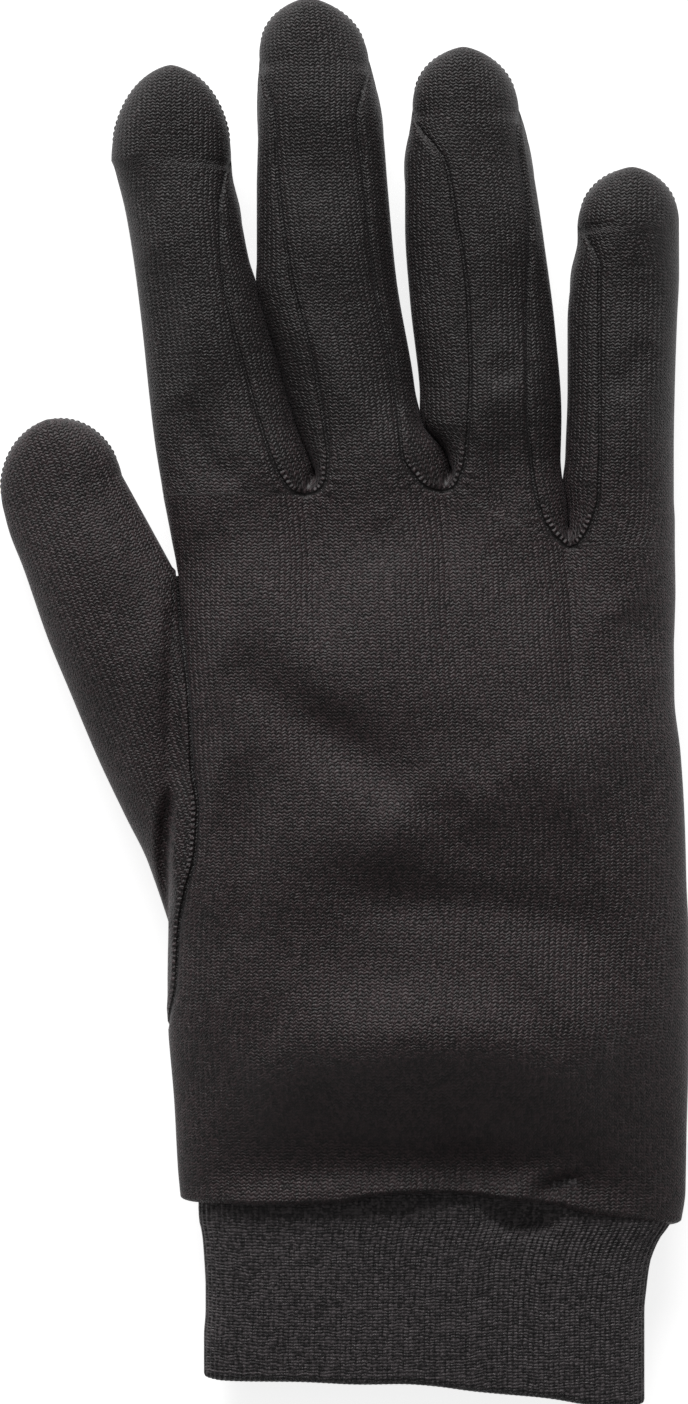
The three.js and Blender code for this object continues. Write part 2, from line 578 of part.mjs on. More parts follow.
// Turns one piece's faces into a closed solid: outer faces, inner faces a wall away, and rims between.
function pieceGeometry(piece, wall) {
  const faces = skin.faces.filter((face) => face.piece === piece).map((face) => face.corners);
  const directed = new Set();
  for (const [a, b, c] of faces) [[a, b], [b, c], [c, a]].forEach(([u, v]) => directed.add(`${u}_${v}`));
  const rims = [];
  for (const [a, b, c] of faces) {
    for (const [u, v] of [[a, b], [b, c], [c, a]]) if (!directed.has(`${v}_${u}`)) rims.push([u, v]);
  }
  // Along its rim a piece is drawn back by half the seam gap, square to the rim and along the cloth.
  const shift = new Map();
  for (const [u, v] of rims) {
    const along = skin.points[v].clone().sub(skin.points[u]).normalize();
    for (const id of [u, v]) {
      const inward = normals[id].clone().cross(along).normalize();
      if (!shift.has(id)) shift.set(id, []);
      shift.get(id).push(inward);
    }
  }
  const smallestTurn = 0.2; // limits how far a sharp corner is drawn back
  const ids = [...new Set(faces.flat())];
  const index = new Map(ids.map((id, k) => [id, k]));
  const outer = ids.map((id) => {
    const point = skin.points[id].clone();
    const inward = shift.get(id);
    if (inward) {
      const sum = inward[0].clone().add(inward[1]);
      const turn = Math.max(smallestTurn, 1 + inward[0].dot(inward[1]));
      point.addScaledVector(sum, seamGap / 2 / turn);
    }
    return point;
  });
  const inner = outer.map((point, k) => point.clone().addScaledVector(normals[ids[k]], -wall));
  const count = ids.length;
  const triangles = [];
  for (const [a, b, c] of faces) {
    triangles.push(index.get(a), index.get(b), index.get(c));
    triangles.push(index.get(c) + count, index.get(b) + count, index.get(a) + count);
  }
  for (const [u, v] of rims) {
    const from = index.get(u);
    const to = index.get(v);
    // Both pieces at a seam split their rims along the same diagonal, so that twisted rims stay parallel.
    if (u < v) triangles.push(to, from, from + count, to, from + count, to + count);
    else triangles.push(to, from, to + count, from, from + count, to + count);
  }
  const geometry = new THREE.BufferGeometry();
  const values = [...outer, ...inner].flatMap((point) => [point.x, point.y, point.z]);
  geometry.setAttribute('position', new THREE.Float32BufferAttribute(values, 3));
  geometry.setIndex(triangles);
  return geometry;
}

// Materials
const finishes = {
  back_panel: { color: '#2b2727', roughness: 0.82 },
  palm_panel: { color: '#292525', roughness: 0.82 },
  fourchette_index_middle: { color: '#2d2929', roughness: 0.82 },
  fourchette_middle_ring: { color: '#2d2929', roughness: 0.82 },
  fourchette_ring_little: { color: '#2d2929', roughness: 0.82 },
  thumb: { color: '#2b2727', roughness: 0.82 },
  rib_cuff: { color: '#242121', roughness: 0.88 },
};

// The glove: one mesh for each piece, centred on the middle of its own outline.
const glove = new THREE.Group();
for (const [piece, finish] of Object.entries(finishes)) {
  const material = new THREE.MeshStandardMaterial({ ...finish, metalness: 0 });
  const mesh = new THREE.Mesh(pieceGeometry(piece, piece === 'rib_cuff' ? cuffWall : clothWall), material);
  mesh.name = piece;
  glove.add(mesh);
}
const outline = new THREE.Box3().setFromObject(glove);
const centre = outline.getCenter(new THREE.Vector3());
glove.position.set(-centre.x, -centre.y, -outline.min.z);

export default glove;
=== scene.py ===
"""A thin black knitted glove liner lying flat on its palm, seen from straight above on a pale floor.

Every piece of cloth is a surface worked out on a grid from short tables, given a wall on its inner side.
Lengths in the tables are millimetres; they become metres when a mesh is made.
"""

import math

import bpy
import numpy as np
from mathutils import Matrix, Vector
from mathutils.kdtree import KDTree


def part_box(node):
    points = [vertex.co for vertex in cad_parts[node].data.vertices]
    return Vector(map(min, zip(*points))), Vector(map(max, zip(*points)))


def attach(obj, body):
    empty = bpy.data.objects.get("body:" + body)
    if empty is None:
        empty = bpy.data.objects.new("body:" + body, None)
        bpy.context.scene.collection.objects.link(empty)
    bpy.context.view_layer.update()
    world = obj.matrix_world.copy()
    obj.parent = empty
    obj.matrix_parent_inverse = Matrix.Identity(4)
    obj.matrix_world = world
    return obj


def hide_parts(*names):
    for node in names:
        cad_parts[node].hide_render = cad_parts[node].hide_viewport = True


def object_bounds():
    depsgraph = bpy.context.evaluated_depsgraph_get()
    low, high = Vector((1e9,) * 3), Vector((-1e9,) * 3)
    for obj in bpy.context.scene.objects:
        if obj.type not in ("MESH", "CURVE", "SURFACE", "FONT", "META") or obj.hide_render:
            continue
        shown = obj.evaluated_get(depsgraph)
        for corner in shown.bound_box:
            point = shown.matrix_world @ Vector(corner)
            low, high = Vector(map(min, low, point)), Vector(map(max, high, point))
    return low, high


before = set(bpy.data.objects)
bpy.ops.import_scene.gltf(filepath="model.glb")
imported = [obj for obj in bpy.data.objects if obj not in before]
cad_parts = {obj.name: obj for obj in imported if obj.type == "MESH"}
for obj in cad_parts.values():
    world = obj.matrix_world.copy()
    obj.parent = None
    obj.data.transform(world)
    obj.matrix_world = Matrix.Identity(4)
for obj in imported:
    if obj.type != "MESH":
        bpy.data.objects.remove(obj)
cad_low, cad_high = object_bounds()
MM = 0.001

# Hand and fingers
ROOT_WIDTHS = [25.7, 24.9, 22.8, 19.7]  # index, middle, ring and little finger, at their roots
HAND_LENGTH = 128.3  # from the index crotch to the hem, on the thumb's side
OUTER_HAND_LENGTH = 122.6  # from the little finger's crotch to the hem
RING_CROTCH_RISE = 0.6
LITTLE_CROTCH_DROP = 9.5
HAND_HALF_HEIGHT = 9.6
KNUCKLE_HALF_HEIGHT = 6.9
KNUCKLE_BLEND = 40
SIDE_FULLNESS = 2.7  # 2 is an ellipse
FINGER_HALF_HEIGHT = 6.7
KNUCKLE_RISE = 50
CAP_FULLNESS = 0.3  # under 1 keeps a round end high up to near its rim
CRACK_PRESS = 0.15  # how deep two fingers press into each other where they touch
CRACK_TOUCH = [36, 12, 10]  # how far up from each crotch they touch
CRACK_RISE = 4
CRACK_START = 2  # length over which that pressing begins
CRACK_FADE = 0.3
CRACK_OPENING = 7  # length over which two fingers part above that
BOTTOM_FULLNESS = 1.14  # how far the underside is pressed flat
LOWER_EXPONENT = 0.8
SEAM_TURN = 45  # degrees round the section from the edge to a seam at a crotch, and on the palm
PALM_SEAM_CLOSING = 0.6  # from this share of a finger's body its palm seams run together
ROOT_SHARE = 0.22  # share of a finger's body over which its back takes its own section
TIP_SHARE = 0.96  # from here on a finger's seams meet its outline

# Thumb
OPENING_START = 14.4
OPENING_LENGTH = 81.5
THUMB_WIDTH = 24
THUMB_LEAN = 23
THUMB_REACH = 35.5
THUMB_TIP_OUT = 10.8
THUMB_HALF_HEIGHT = 6.2
THUMB_END_HEIGHT = 0.8  # share of its height that is left at the thumb's tip
THUMB_JOIN = 9  # how fast its rings leave the opening's edge: they are free of it over the first ninth

# Hem and cuff
ROLL_RADIUS = 1.1
ROLL_INSET = 3
HEM_WAVE_START = 0.86  # share of the hand's length from which the rows follow the hem's curve
HEM_WAVE_LENGTH = 0.11
CUFF_TOP = -86  # where the cuff ends inside the hand
CUFF_HALF_HEIGHT = 6.4
CUFF_FULLNESS = 0.74  # under 1 makes its section squarer than an ellipse
CUFF_LIFT_START = -95  # from here up the cuff's underside rises 1 mm off the floor, over the palm's cloth
CUFF_LIFT_LENGTH = 3
MOUTH_LIFT = 1.0  # how much less far down the upper layer of the cuff reaches, round MOUTH_PLACE
MOUTH_PLACE = 24
MOUTH_REACH = 17
RIBS = 180
RIB_HEIGHT = 0.13

# Cloth
WALL = 0.8
LOWEST_INSIDE = 0.05  # height of the inner side of the cloth where it lies on the floor
CUFF_WALL = 1.4
WELT_HEIGHT = 0.3  # of the folded edge of cloth that lies under a strip, beside its seam
WELT_REACH = 1.9  # how far from the seam that edge ends
DIP_DEPTH = 0.3  # of the groove that the stitches pull in
DIP_WIDTH = 0.8
PUCKER_HEIGHT = 0.1  # of the small gathers beside a crotch
PUCKER_PERIOD = 1.7
PUCKER_PLACE = 1.6
SEAM_FADE = 9  # length over which a finger's seam flattens out towards the tip
THUMB_CHAIN_START = -14  # below this place the thumb seam's stitches show
THUMB_CHAIN_FADE = 5
TURN_FADE = 6  # length over which a strip's courses straighten above the crotch
OVERLOCK_INSET = 0.3
OVERLOCK_PERIOD = 1.05
OVERLOCK_POINTS = 9  # along each stitch
OVERLOCK_RADIUS = 0.22  # between two stitches, and twice that in the middle of one
OVERLOCK_END_RADIUS = 0.05
OVERLOCK_FADE = 6
LIT_SIDE = 0.7  # how far a fold's lit side lies from its crest, as a share of its width
FINGER_SHADE_START = 30  # from here up, over the next length, the fingers and strips are painted a little darker: painted shade
FINGER_SHADE_LENGTH = 30
CROTCH_CHAIN = 9  # how far the chain of stitches shows up both sides of a crotch
WAVE_COUNT = 22  # waves of slow unevenness, their rates in radians a mm and their height at rate 1
WAVE_RATES = (0.12, 0.5)
WAVE_HEIGHT = 0.022
CUFF_WELD_STEP = 1e-3
WELD_STEP = 2e-3  # points of neighbouring patches that are this close are the same point

PALM_WIDTH = sum(ROOT_WIDTHS)

# Finger sections at these shares of the body length: the left edge, left seam, right seam and right edge,
# as shares of the root width from the root's middle
SECTION_SHARES = np.array([0, 0.004, 0.014, 0.03, 0.08, 0.16, 0.3, 0.5, 0.7, 0.85, 0.95, 0.98, 1])
INDEX_TABLE = [
    (-0.5, -0.5, 0.5, 0.58), (-0.5, -0.5, 0.44, 0.58), (-0.505, -0.505, 0.4, 0.575),
    (-0.51, -0.51, 0.37, 0.57), (-0.53, -0.53, 0.3, 0.54), (-0.56, -0.56, 0.23, 0.47),
    (-0.6, -0.6, 0.13, 0.38), (-0.65, -0.65, 0, 0.26), (-0.71, -0.71, -0.08, 0.11),
    (-0.77, -0.77, -0.09, 0.04), (-0.83, -0.83, -0.06, -0.01), (-0.85, -0.85, -0.035, -0.015),
    (-0.87, -0.87, -0.02, -0.02),
]
MIDDLE_TABLE = [
    (-0.41, -0.5, 0.5, 0.58), (-0.415, -0.43, 0.42, 0.575), (-0.425, -0.38, 0.36, 0.57),
    (-0.44, -0.345, 0.31, 0.56), (-0.49, -0.33, 0.21, 0.51), (-0.56, -0.36, 0.19, 0.35),
    (-0.69, -0.44, 0.13, 0.28), (-0.85, -0.6, 0.01, 0.17), (-0.85, -0.69, -0.06, 0.11),
    (-0.84, -0.72, -0.11, 0.07), (-0.84, -0.79, -0.05, 0.01), (-0.835, -0.815, -0.03, -0.01),
    (-0.83, -0.83, -0.03, -0.03),
]
RING_TABLE = [
    (-0.41, -0.5, 0.5, 0.51), (-0.412, -0.44, 0.48, 0.51), (-0.42, -0.4, 0.435, 0.51),
    (-0.43, -0.37, 0.375, 0.51), (-0.48, -0.32, 0.28, 0.5), (-0.65, -0.3, 0.22, 0.45),
    (-0.68, -0.28, 0.18, 0.46), (-0.75, -0.3, 0.18, 0.41), (-0.79, -0.39, 0.2, 0.32),
    (-0.79, -0.48, 0.14, 0.24), (-0.75, -0.69, 0.1, 0.17), (-0.74, -0.72, 0.12, 0.145),
    (-0.73, -0.73, 0.12, 0.12),
]
LITTLE_TABLE = [
    (-0.49, -0.5, 0.5, 0.5), (-0.49, -0.44, 0.5, 0.5), (-0.49, -0.4, 0.5, 0.5),
    (-0.49, -0.36, 0.5, 0.5), (-0.49, -0.29, 0.5, 0.5), (-0.52, -0.23, 0.49, 0.49),
    (-0.51, -0.22, 0.49, 0.49), (-0.49, -0.22, 0.5, 0.5), (-0.49, -0.22, 0.52, 0.52),
    (-0.45, -0.22, 0.54, 0.54), (-0.4, -0.32, 0.54, 0.54), (-0.4, -0.37, 0.54, 0.54),
    (-0.4, -0.4, 0.54, 0.54),
]
# name, body length, length of the round end, place of the tip as a share of the root width, sections
FINGERS = [
    ("index", 61.2, 16.9, -0.44, INDEX_TABLE),
    ("middle", 79.2, 10.7, -0.47, MIDDLE_TABLE),
    ("ring", 74.9, 10.9, -0.33, RING_TABLE),
    ("little", 58.9, 10.2, 0.09, LITTLE_TABLE),
]
# Hand sections: share of the hand's length, then the left edge, thumb seam and right edge as shares of the
# palm's width, and the height as a share of the hand's half height.
HAND_TABLE = np.array([
    (0, 0, 0, 0, 0.9),
    (0.06, 0.016, 0.016, 0.001, 0.92),
    (0.11, 0.027, 0.027, -0.001, 0.94),
    (0.15, 0.025, 0.031, -0.003, 0.96),
    (0.22, 0.019, 0.043, -0.003, 0.98),
    (0.3, 0.014, 0.053, 0.008, 1),
    (0.38, 0.011, 0.058, 0.015, 1),
    (0.44, 0.01, 0.07, 0.018, 1),
    (0.5, 0.009, 0.066, 0.02, 1),
    (0.56, 0.008, 0.046, 0.024, 1),
    (0.61, 0.008, 0.033, 0.026, 0.99),
    (0.69, 0.006, 0.026, 0.026, 0.98),
    (0.75, 0.01, 0.01, 0.025, 0.95),
    (0.86, 0.022, 0.022, 0.022, 0.84),
    (0.95, 0.028, 0.028, 0.021, 0.72),
    (1, 0.034, 0.034, 0.012, 0.67),
])
# How far the hem stands above the straight line between its ends: share across the palm, then mm
HEM_TABLE = np.array([
    (0, 0), (0.06, 0.3), (0.18, 0.8), (0.31, 1.7), (0.4, 3.6), (0.56, 4.5), (0.65, 3.7), (0.75, 3.3),
    (0.8, 2.2), (0.91, 0.9), (1, -0.4),
])
# Thumb rings: share of the body, then shares of the way along its right and left edges, how far the outer
# edge sinks, the height, and the share of the way down to the floor.
THUMB_TABLE = np.array([
    (0, 0, 0, 0.2, 0.6, 0),
    (0.111, 0.1, 0.168, 0.24, 0.75, 0.3),
    (0.222, 0.2, 0.283, 0.23, 0.95, 0.6),
    (0.333, 0.32, 0.386, 0.17, 1, 0.8),
    (0.444, 0.44, 0.505, 0.105, 1, 0.95),
    (0.556, 0.56, 0.631, 0.06, 1, 1),
    (0.667, 0.66, 0.758, 0.02, 1, 1),
    (0.778, 0.76, 0.873, 0.01, 1, 1),
    (0.889, 0.88, 0.949, -0.01, 1, 1),
    (1, 1, 1, 0, 1, 1),
])
THUMB_CAP_RIGHT = (0.59, 0.09)
THUMB_CAP_LEFT = (0.68, 1.02)
# Cuff outline: place along the glove, then its left and right edge, in mm
CUFF_TABLE = np.array([
    (-128.5, -25.3, 54.6), (-122.6, -25.4, 54.6), (-115.3, -25.4, 54.6), (-110.9, -25.1, 54.6),
    (-106.6, -25.1, 55), (-102.2, -25.3, 55.6), (-99.3, -25.5, 56.6), (-96.4, -25.8, 58.2),
    (-94.9, -26.2, 59.6), (-92, -26.4, 59.8), (-84, -26, 58.5),
])
# Lower edge of the cuff: place across, then along the glove, in mm
CUFF_EDGE = np.array([
    (-25.3, -122.8), (-22, -123.1), (-8.9, -122.9), (2, -123.3), (9.3, -123.7), (16.6, -124.5),
    (23.8, -125.5), (31.1, -126.2), (38.4, -126.7), (45.7, -127.5), (52, -127.9), (54.6, -127.6),
])

# Folds of the cloth on the back: what it is, its line in mm, its width and its height, negative in a hollow
FOLDS = [
    ("hollow from the thumb side",
     [(-22, 11), (-9.8, 2.5), (-0.7, -4.8), (6.5, -10.5), (12, -13.5)], 5.5, -2.2),
    ("ridge under it", [(-8, -20), (4.7, -23), (15.7, -16.5), (24, -9)], 5, 1),
    ("ridge across the middle", [(21.1, -23.6), (27.5, -13.6), (33.9, -3.5)], 4, 0.5),
    ("hollow between two ridges", [(10.2, -17.2), (16.6, -16.8), (22.9, -16.3)], 3.5, -0.6),
    ("long hollow across", [(-3, -32.5), (19.3, -32.7), (32, -34.4), (50.6, -38.5)], 5, -1.5),
    ("broad dome above the wrist",
     [(-19, -61), (-7, -56.5), (8, -54.5), (24, -54.5), (49, -61.5)], 10, 4),
    ("ridge to the outer side", [(26.6, -42), (39.3, -52), (50.2, -66), (57.5, -75)], 4.5, 0.7),
    ("broad hollow above the hem", [(-14.8, -77.3), (15.7, -76.3), (39.3, -75.4), (56.8, -79.9)], 8, -0.9),
    ("upright hollow by the thumb", [(-17.7, -9), (-18.4, -27.2), (-17.8, -45.4)], 3.5, -1),
    ("upright ridge by the thumb", [(-21.7, -5.4), (-23.5, -14.5), (-24.4, -23.6)], 3, 0.9),
    ("dent at the thumb's foot", [(-17.1, -61.8), (-13.5, -56.3), (-9.8, -50.9)], 4, -0.5),
    ("dent at the outer knuckle", [(50.2, 18.3), (53.9, 13.7), (57.5, 9.2)], 4, -0.7),
    ("dent below the index knuckle", [(-28, 32.9), (-24.4, 30.1), (-19.8, 27.4)], 4, -0.4),
    ("dent below the middle knuckle", [(5.1, 33.8), (7.5, 29.2), (9.6, 25.6)], 4, -0.4),
    ("dent below the ring knuckle", [(27.5, 31), (29.7, 27), (31.7, 22.3)], 4, -0.4),
    ("dent below the little knuckle", [(43.9, 25.6), (46.6, 22.8), (49.3, 19.7)], 4, -0.4),
    ("faint crease on the outer side", [(37.5, -10.8), (43, -21.7), (48.4, -32.7)], 3, 0.35),
    ("faint hollow beside it", [(44.8, -14.5), (47.5, -23.6), (50.2, -32.7)], 3, -0.35),
    ("slanting hollow on the index", [(-35.3, 82), (-32.6, 72.9), (-31.3, 63.8), (-29.8, 54.7)], 3, -1.1),
    ("the same, lower down", [(-29.8, 57), (-26.2, 49.2), (-23.5, 43.8), (-18.9, 40.1)], 3, -1),
    ("slanting ridge on the middle", [(-8.9, 71.1), (-2.5, 62), (2.9, 51.1)], 3.5, 0.6),
    ("crease across the ring finger", [(25.7, 59.2), (28.9, 61.2), (32.4, 62)], 2.5, -0.7),
    ("upright hollow on the ring", [(28.4, 54.7), (28.6, 40.1), (28.4, 25.6)], 3, -0.5),
    ("slanting crease on the little", [(48.8, 56.1), (52.1, 60.9), (55.3, 66)], 3, -0.7),
    ("light band across the knuckles", [(-26.2, 20.1), (1.1, 23.4), (28.4, 22.5), (53.9, 17.4)], 11, 0.8),
    ("streak above the hem", [(28.4, -89.5), (33.9, -84.7), (43.3, -81.8)], 2, 0.9),
    ("sharp hollow under the streak", [(34.4, -88), (38, -86), (43.3, -84.7)], 1.5, -0.9),
    ("roll along the hem", [(-27.1, -89), (10.2, -86), (26.6, -86.6), (57, -91.8)], 3.2, 1.9),
    ("soft valley at the thumb's root", [(-30.2, 18.3), (-28.9, 9.2), (-28, 0.1)], 3, -1),
    ("thumb cloth rolled over", [(-29.1, -13.6), (-30.4, -21.7), (-30.8, -29), (-30.4, -39)], 2.2, 1),
    ("crease of the thumb", [(-31.3, -15.4), (-32.4, -22.3), (-32.7, -27.8), (-32, -40.3)], 1.1, -2.8),
    ("notch in the thumb seam", [(-27.8, -8.1), (-26.6, -13.6), (-26.6, -18.1), (-26.4, -24.5)], 0.8, -0.8),
]
CUFF_FOLDS = [
    ("pocket under the hem", [(24.5, -90.5), (33, -91.5), (39.6, -93.2)], 2.4, -1.6),
]

# Grid steps
COLUMNS = 28  # across a finger, and across its share of the hand
PALM_COLUMNS = 14
STRIP_COLUMNS = 16
FINGER_ROWS = 110
ROW_CROWDING = 0.12  # how much closer the rows lie at both ends of a finger
CAP_ROWS = 18
ROWS_ABOVE_THUMB = 26
ROW_PULL = 1.6  # over 1 crowds the rows above the thumb towards the crotch row
ROWS_AT_THUMB = 96
ROWS_BELOW_THUMB = 34
ROLL_ROWS = 12
THUMB_ROWS = 72
CUFF_ROWS = 30
CUFF_FOLD_ROWS = 7
CUFF_INNER_ROWS = 16
CUFF_ROUND_STEPS = 1441
POINTS_A_RIB = 6


def ease(share):
    """Smooth step from 0 to 1."""
    share = np.clip(share, 0, 1)
    return share * share * (3 - 2 * share)


def mix(a, b, share):
    return a + (b - a) * share


def smooth(knots, values, at):
    """Smooth curve through a table that never overshoots its rows: cubic pieces whose slope at a row is the
    harmonic mean of the slopes beside it, or none where they turn."""
    knots = np.asarray(knots, float)
    values = np.asarray(values, float)
    slope = np.diff(values) / np.diff(knots)
    product = slope[:-1] * slope[1:]
    total = np.where(product > 0, slope[:-1] + slope[1:], 1)
    tangent = np.concatenate([slope[:1], np.where(product > 0, 2 * product / total, 0), slope[-1:]])
    at = np.clip(at, knots[0], knots[-1])
    k = np.clip(np.searchsorted(knots, at, side="right") - 1, 0, len(knots) - 2)
    step = knots[k + 1] - knots[k]
    t = (at - knots[k]) / step
    ends = (1 + 2 * t) * (1 - t) ** 2 * values[k] + t * t * (3 - 2 * t) * values[k + 1]
    return ends + t * (1 - t) ** 2 * step * tangent[k] + t * t * (t - 1) * step * tangent[k + 1]


def from_table(table, k, at):
    """Smooth curve through one column of a table, over its first column."""
    return smooth(table[:, 0], table[:, k], at)


def lower_share(upper):
    """How far down a section reaches where its back rises by upper: the floor presses it flat."""
    return np.minimum(1, BOTTOM_FULLNESS * np.clip(upper, 0, None) ** LOWER_EXPONENT)


def section_height(half, rise, above):
    """Height on a section whose middle lies half above the floor."""
    return np.where(above, half * (1 + rise), half * (1 - lower_share(rise)))


# The fingers' roots, chained from the index finger's fold at x 0 on the line y 0
crotches = np.array([
    (ROOT_WIDTHS[0], 0),
    (ROOT_WIDTHS[0] + ROOT_WIDTHS[1], RING_CROTCH_RISE),
    (PALM_WIDTH - ROOT_WIDTHS[3], -LITTLE_CROTCH_DROP),
])
roots = np.vstack([(0, 0), crotches, (PALM_WIDTH, -LITTLE_CROTCH_DROP)])
fingers = []
for f, (name, body, cap, tip, table) in enumerate(FINGERS):
    middle = (roots[f, 0] + roots[f + 1, 0]) / 2
    table = np.array(table) * ROOT_WIDTHS[f]
    fingers.append({
        "name": name, "cap": cap, "tip": tip, "middle": middle, "width": ROOT_WIDTHS[f],
        "body": body, "top": (roots[f, 1] + roots[f + 1, 1]) / 2 + body,
        "edge": middle + table[:, [0, 3]], "seam": middle + table[:, [1, 2]],
    })


def has_strip(f, side):
    return f > 0 if side == 0 else f < len(fingers) - 1


def side_height(f, side, along):
    """Height along a finger's side at a share of its body."""
    return mix(roots[f + side, 1], fingers[f]["top"], along)


def edge_height(f, side, along):
    """The same along its outline edge, which lies higher near a crotch."""
    rise = CRACK_RISE * np.clip(1 - along / CRACK_FADE, 0, None) ** 2 if has_strip(f, side) else 0
    return side_height(f, side, along) + rise


def table_edge(f, side, y):
    return smooth(edge_height(f, side, SECTION_SHARES), fingers[f]["edge"][:, side], y)


def edge_place(f, side, y):
    """Outline edge of a finger at a height: the table's, held back where it presses on its neighbour."""
    own = table_edge(f, side, y)
    if not has_strip(f, side):
        return own
    neighbour = f - 1 + 2 * side
    middle = (own + table_edge(neighbour, 1 - side, y)) / 2
    above_crotch = y - roots[f + side, 1]
    pressed = ease((above_crotch - CRACK_RISE) / CRACK_START) * CRACK_PRESS * (2 * side - 1)
    opened = ease((above_crotch - CRACK_TOUCH[f + side - 1]) / CRACK_OPENING)
    return np.where(y > fingers[neighbour]["top"], own, mix(middle + pressed, own, opened))


def section_edges(f, along):
    """The two edges of the section that a finger's back follows: its outline edges, but near the crotches
    wider ones, on which both seams lie SEAM_TURN degrees round, so that the back runs on into the hand."""
    finger = fingers[f]
    edges = [edge_place(f, side, side_height(f, side, along)) for side in (0, 1)]
    turn = math.cos(math.radians(SEAM_TURN))
    turns = [turn if has_strip(f, side) else 1 for side in (0, 1)]
    wide = (roots[f + 1, 0] - roots[f, 0]) / (turns[0] + turns[1])
    middle = roots[f, 0] + wide * turns[0]
    joined = ease(along / ROOT_SHARE)
    return mix(middle - wide, edges[0], joined), mix(middle + wide, edges[1], joined)


def finger_rows(f, along):
    """Rows across a finger: its outline edges and its four seams, each with its place and its angle round
    the section."""
    finger = fingers[f]
    rise = ease(along * finger["body"] / KNUCKLE_RISE)
    rows = {"half": mix(KNUCKLE_HALF_HEIGHT, FINGER_HALF_HEIGHT, rise)}
    left, right = section_edges(f, along)
    at_knots = [edge_place(f, side, edge_height(f, side, SECTION_SHARES)) for side in (0, 1)]
    for side in (0, 1):
        outer = 180 * (1 - side)
        inward = 2 * side - 1
        height = edge_height(f, side, along)
        edge = np.stack([edge_place(f, side, height), height], 1)
        rows["edge", side] = edge
        if not has_strip(f, side):
            for level in ("upper", "lower"):
                rows[level, side] = edge
                rows[level + " angle", side] = np.full(len(along), float(outer))
            continue
        seam = smooth(SECTION_SHARES, finger["seam"][:, side], along)
        angle = np.degrees(np.arccos(np.clip(2 * (seam - left) / (right - left) - 1, -1, 1)))
        rows["upper angle", side] = mix(angle, outer, ease((along - TIP_SHARE) / (1 - TIP_SHARE)))
        rows["upper", side] = np.stack([seam, side_height(f, side, along)], 1)
        closing = ease((SECTION_SHARES - PALM_SEAM_CLOSING) / (1 - PALM_SEAM_CLOSING))
        turn = SEAM_TURN * (1 - closing)
        place = mix(at_knots[0], at_knots[1], (1 + inward * np.cos(np.radians(turn))) / 2)
        place[0] = roots[f + side, 0]
        rows["lower angle", side] = outer + inward * smooth(SECTION_SHARES, turn, along)
        seam = smooth(SECTION_SHARES, place, along)
        rows["lower", side] = np.stack([seam, side_height(f, side, along)], 1)
    return rows


def panel(rows, t, above):
    """Points of a finger's panel, and each point's share of relief: along each row the angle round the
    section turns evenly from the left seam to the right one, x and y follow its cosine and z its sine."""
    level = "upper" if above else "lower"
    left = rows[level + " angle", 0][:, None]
    right = rows[level + " angle", 1][:, None]
    angle = np.radians(mix(left, right, t[None, :]))
    first, last = np.cos(np.radians(left)), np.cos(np.radians(right))
    share = (np.cos(angle) - first) / (last - first)
    place = mix(rows[level, 0][:, None, :], rows[level, 1][:, None, :], share[..., None])
    rise = np.sin(angle)
    z = section_height(rows["half"][:, None], rise, above)
    return np.dstack([place, z]), rise if above else np.zeros_like(rise)


def strip(rows, side, t):
    """Points of a fourchette beside a finger: t runs from the back seam round the edge to the palm seam."""
    above = t < 0.5
    reach = np.abs(1 - 2 * t)[None, :]
    outer = 180 * (1 - side)
    turns = [np.abs(rows[level + " angle", side] - outer)[:, None] for level in ("upper", "lower")]
    seam_turn = np.where(above, turns[0], turns[1])
    turn = np.radians(seam_turn * reach)
    whole = 1 - np.cos(np.radians(seam_turn))
    share = np.where(whole > 1e-9, (1 - np.cos(turn)) / np.maximum(whole, 1e-9), reach)
    seam = np.where(above[None, :, None], rows["upper", side][:, None, :], rows["lower", side][:, None, :])
    place = mix(rows["edge", side][:, None, :], seam, share[..., None])
    rise = np.sin(turn)
    z = section_height(rows["half"][:, None], rise, above)
    return np.dstack([place, z]), np.where(above, rise, 0)


def round_end(points, relief, centre, tip):
    """Closes a grid with a round end: each point of its last row swings to the tip on a quarter ellipse, and
    its height follows a power of the sine, which keeps the end flat to near its rim."""
    angle = np.radians(np.linspace(90, 0, CAP_ROWS + 1))[1:, None, None]
    swing = np.sin(angle[..., 0])
    cap = centre + (tip - centre) * np.cos(angle) + (points[-1] - centre) * np.sin(angle)
    cap[..., 2] = centre[2] + (points[-1, :, 2] - centre[2]) * swing ** CAP_FULLNESS
    return np.vstack([points, cap]), np.vstack([relief, relief[-1] * swing])


# Shares of the body for a finger's rows, closer together near the crotch and near the round end
even = np.linspace(0, 1, FINGER_ROWS + 1)
finger_along = even - ROW_CROWDING * np.sin(2 * math.pi * even)


def finger_grid(f, above):
    """A finger's panel with its round end."""
    rows = finger_rows(f, finger_along)
    t = np.linspace(0, 1, (COLUMNS if above else PALM_COLUMNS) + 1)
    points, relief = panel(rows, t, above)
    finger = fingers[f]
    half = rows["half"][-1]
    centre = np.array([(rows["edge", 0][-1, 0] + rows["edge", 1][-1, 0]) / 2, finger["top"], half])
    tip_x = finger["middle"] + finger["tip"] * finger["width"]
    tip = np.array([tip_x, finger["top"] + finger["cap"], half])
    return round_end(points, relief, centre, tip)


opening_start = OPENING_START / HAND_LENGTH
opening_end = (OPENING_START + OPENING_LENGTH) / HAND_LENGTH
roll_start = 1 - ROLL_RADIUS / HAND_LENGTH


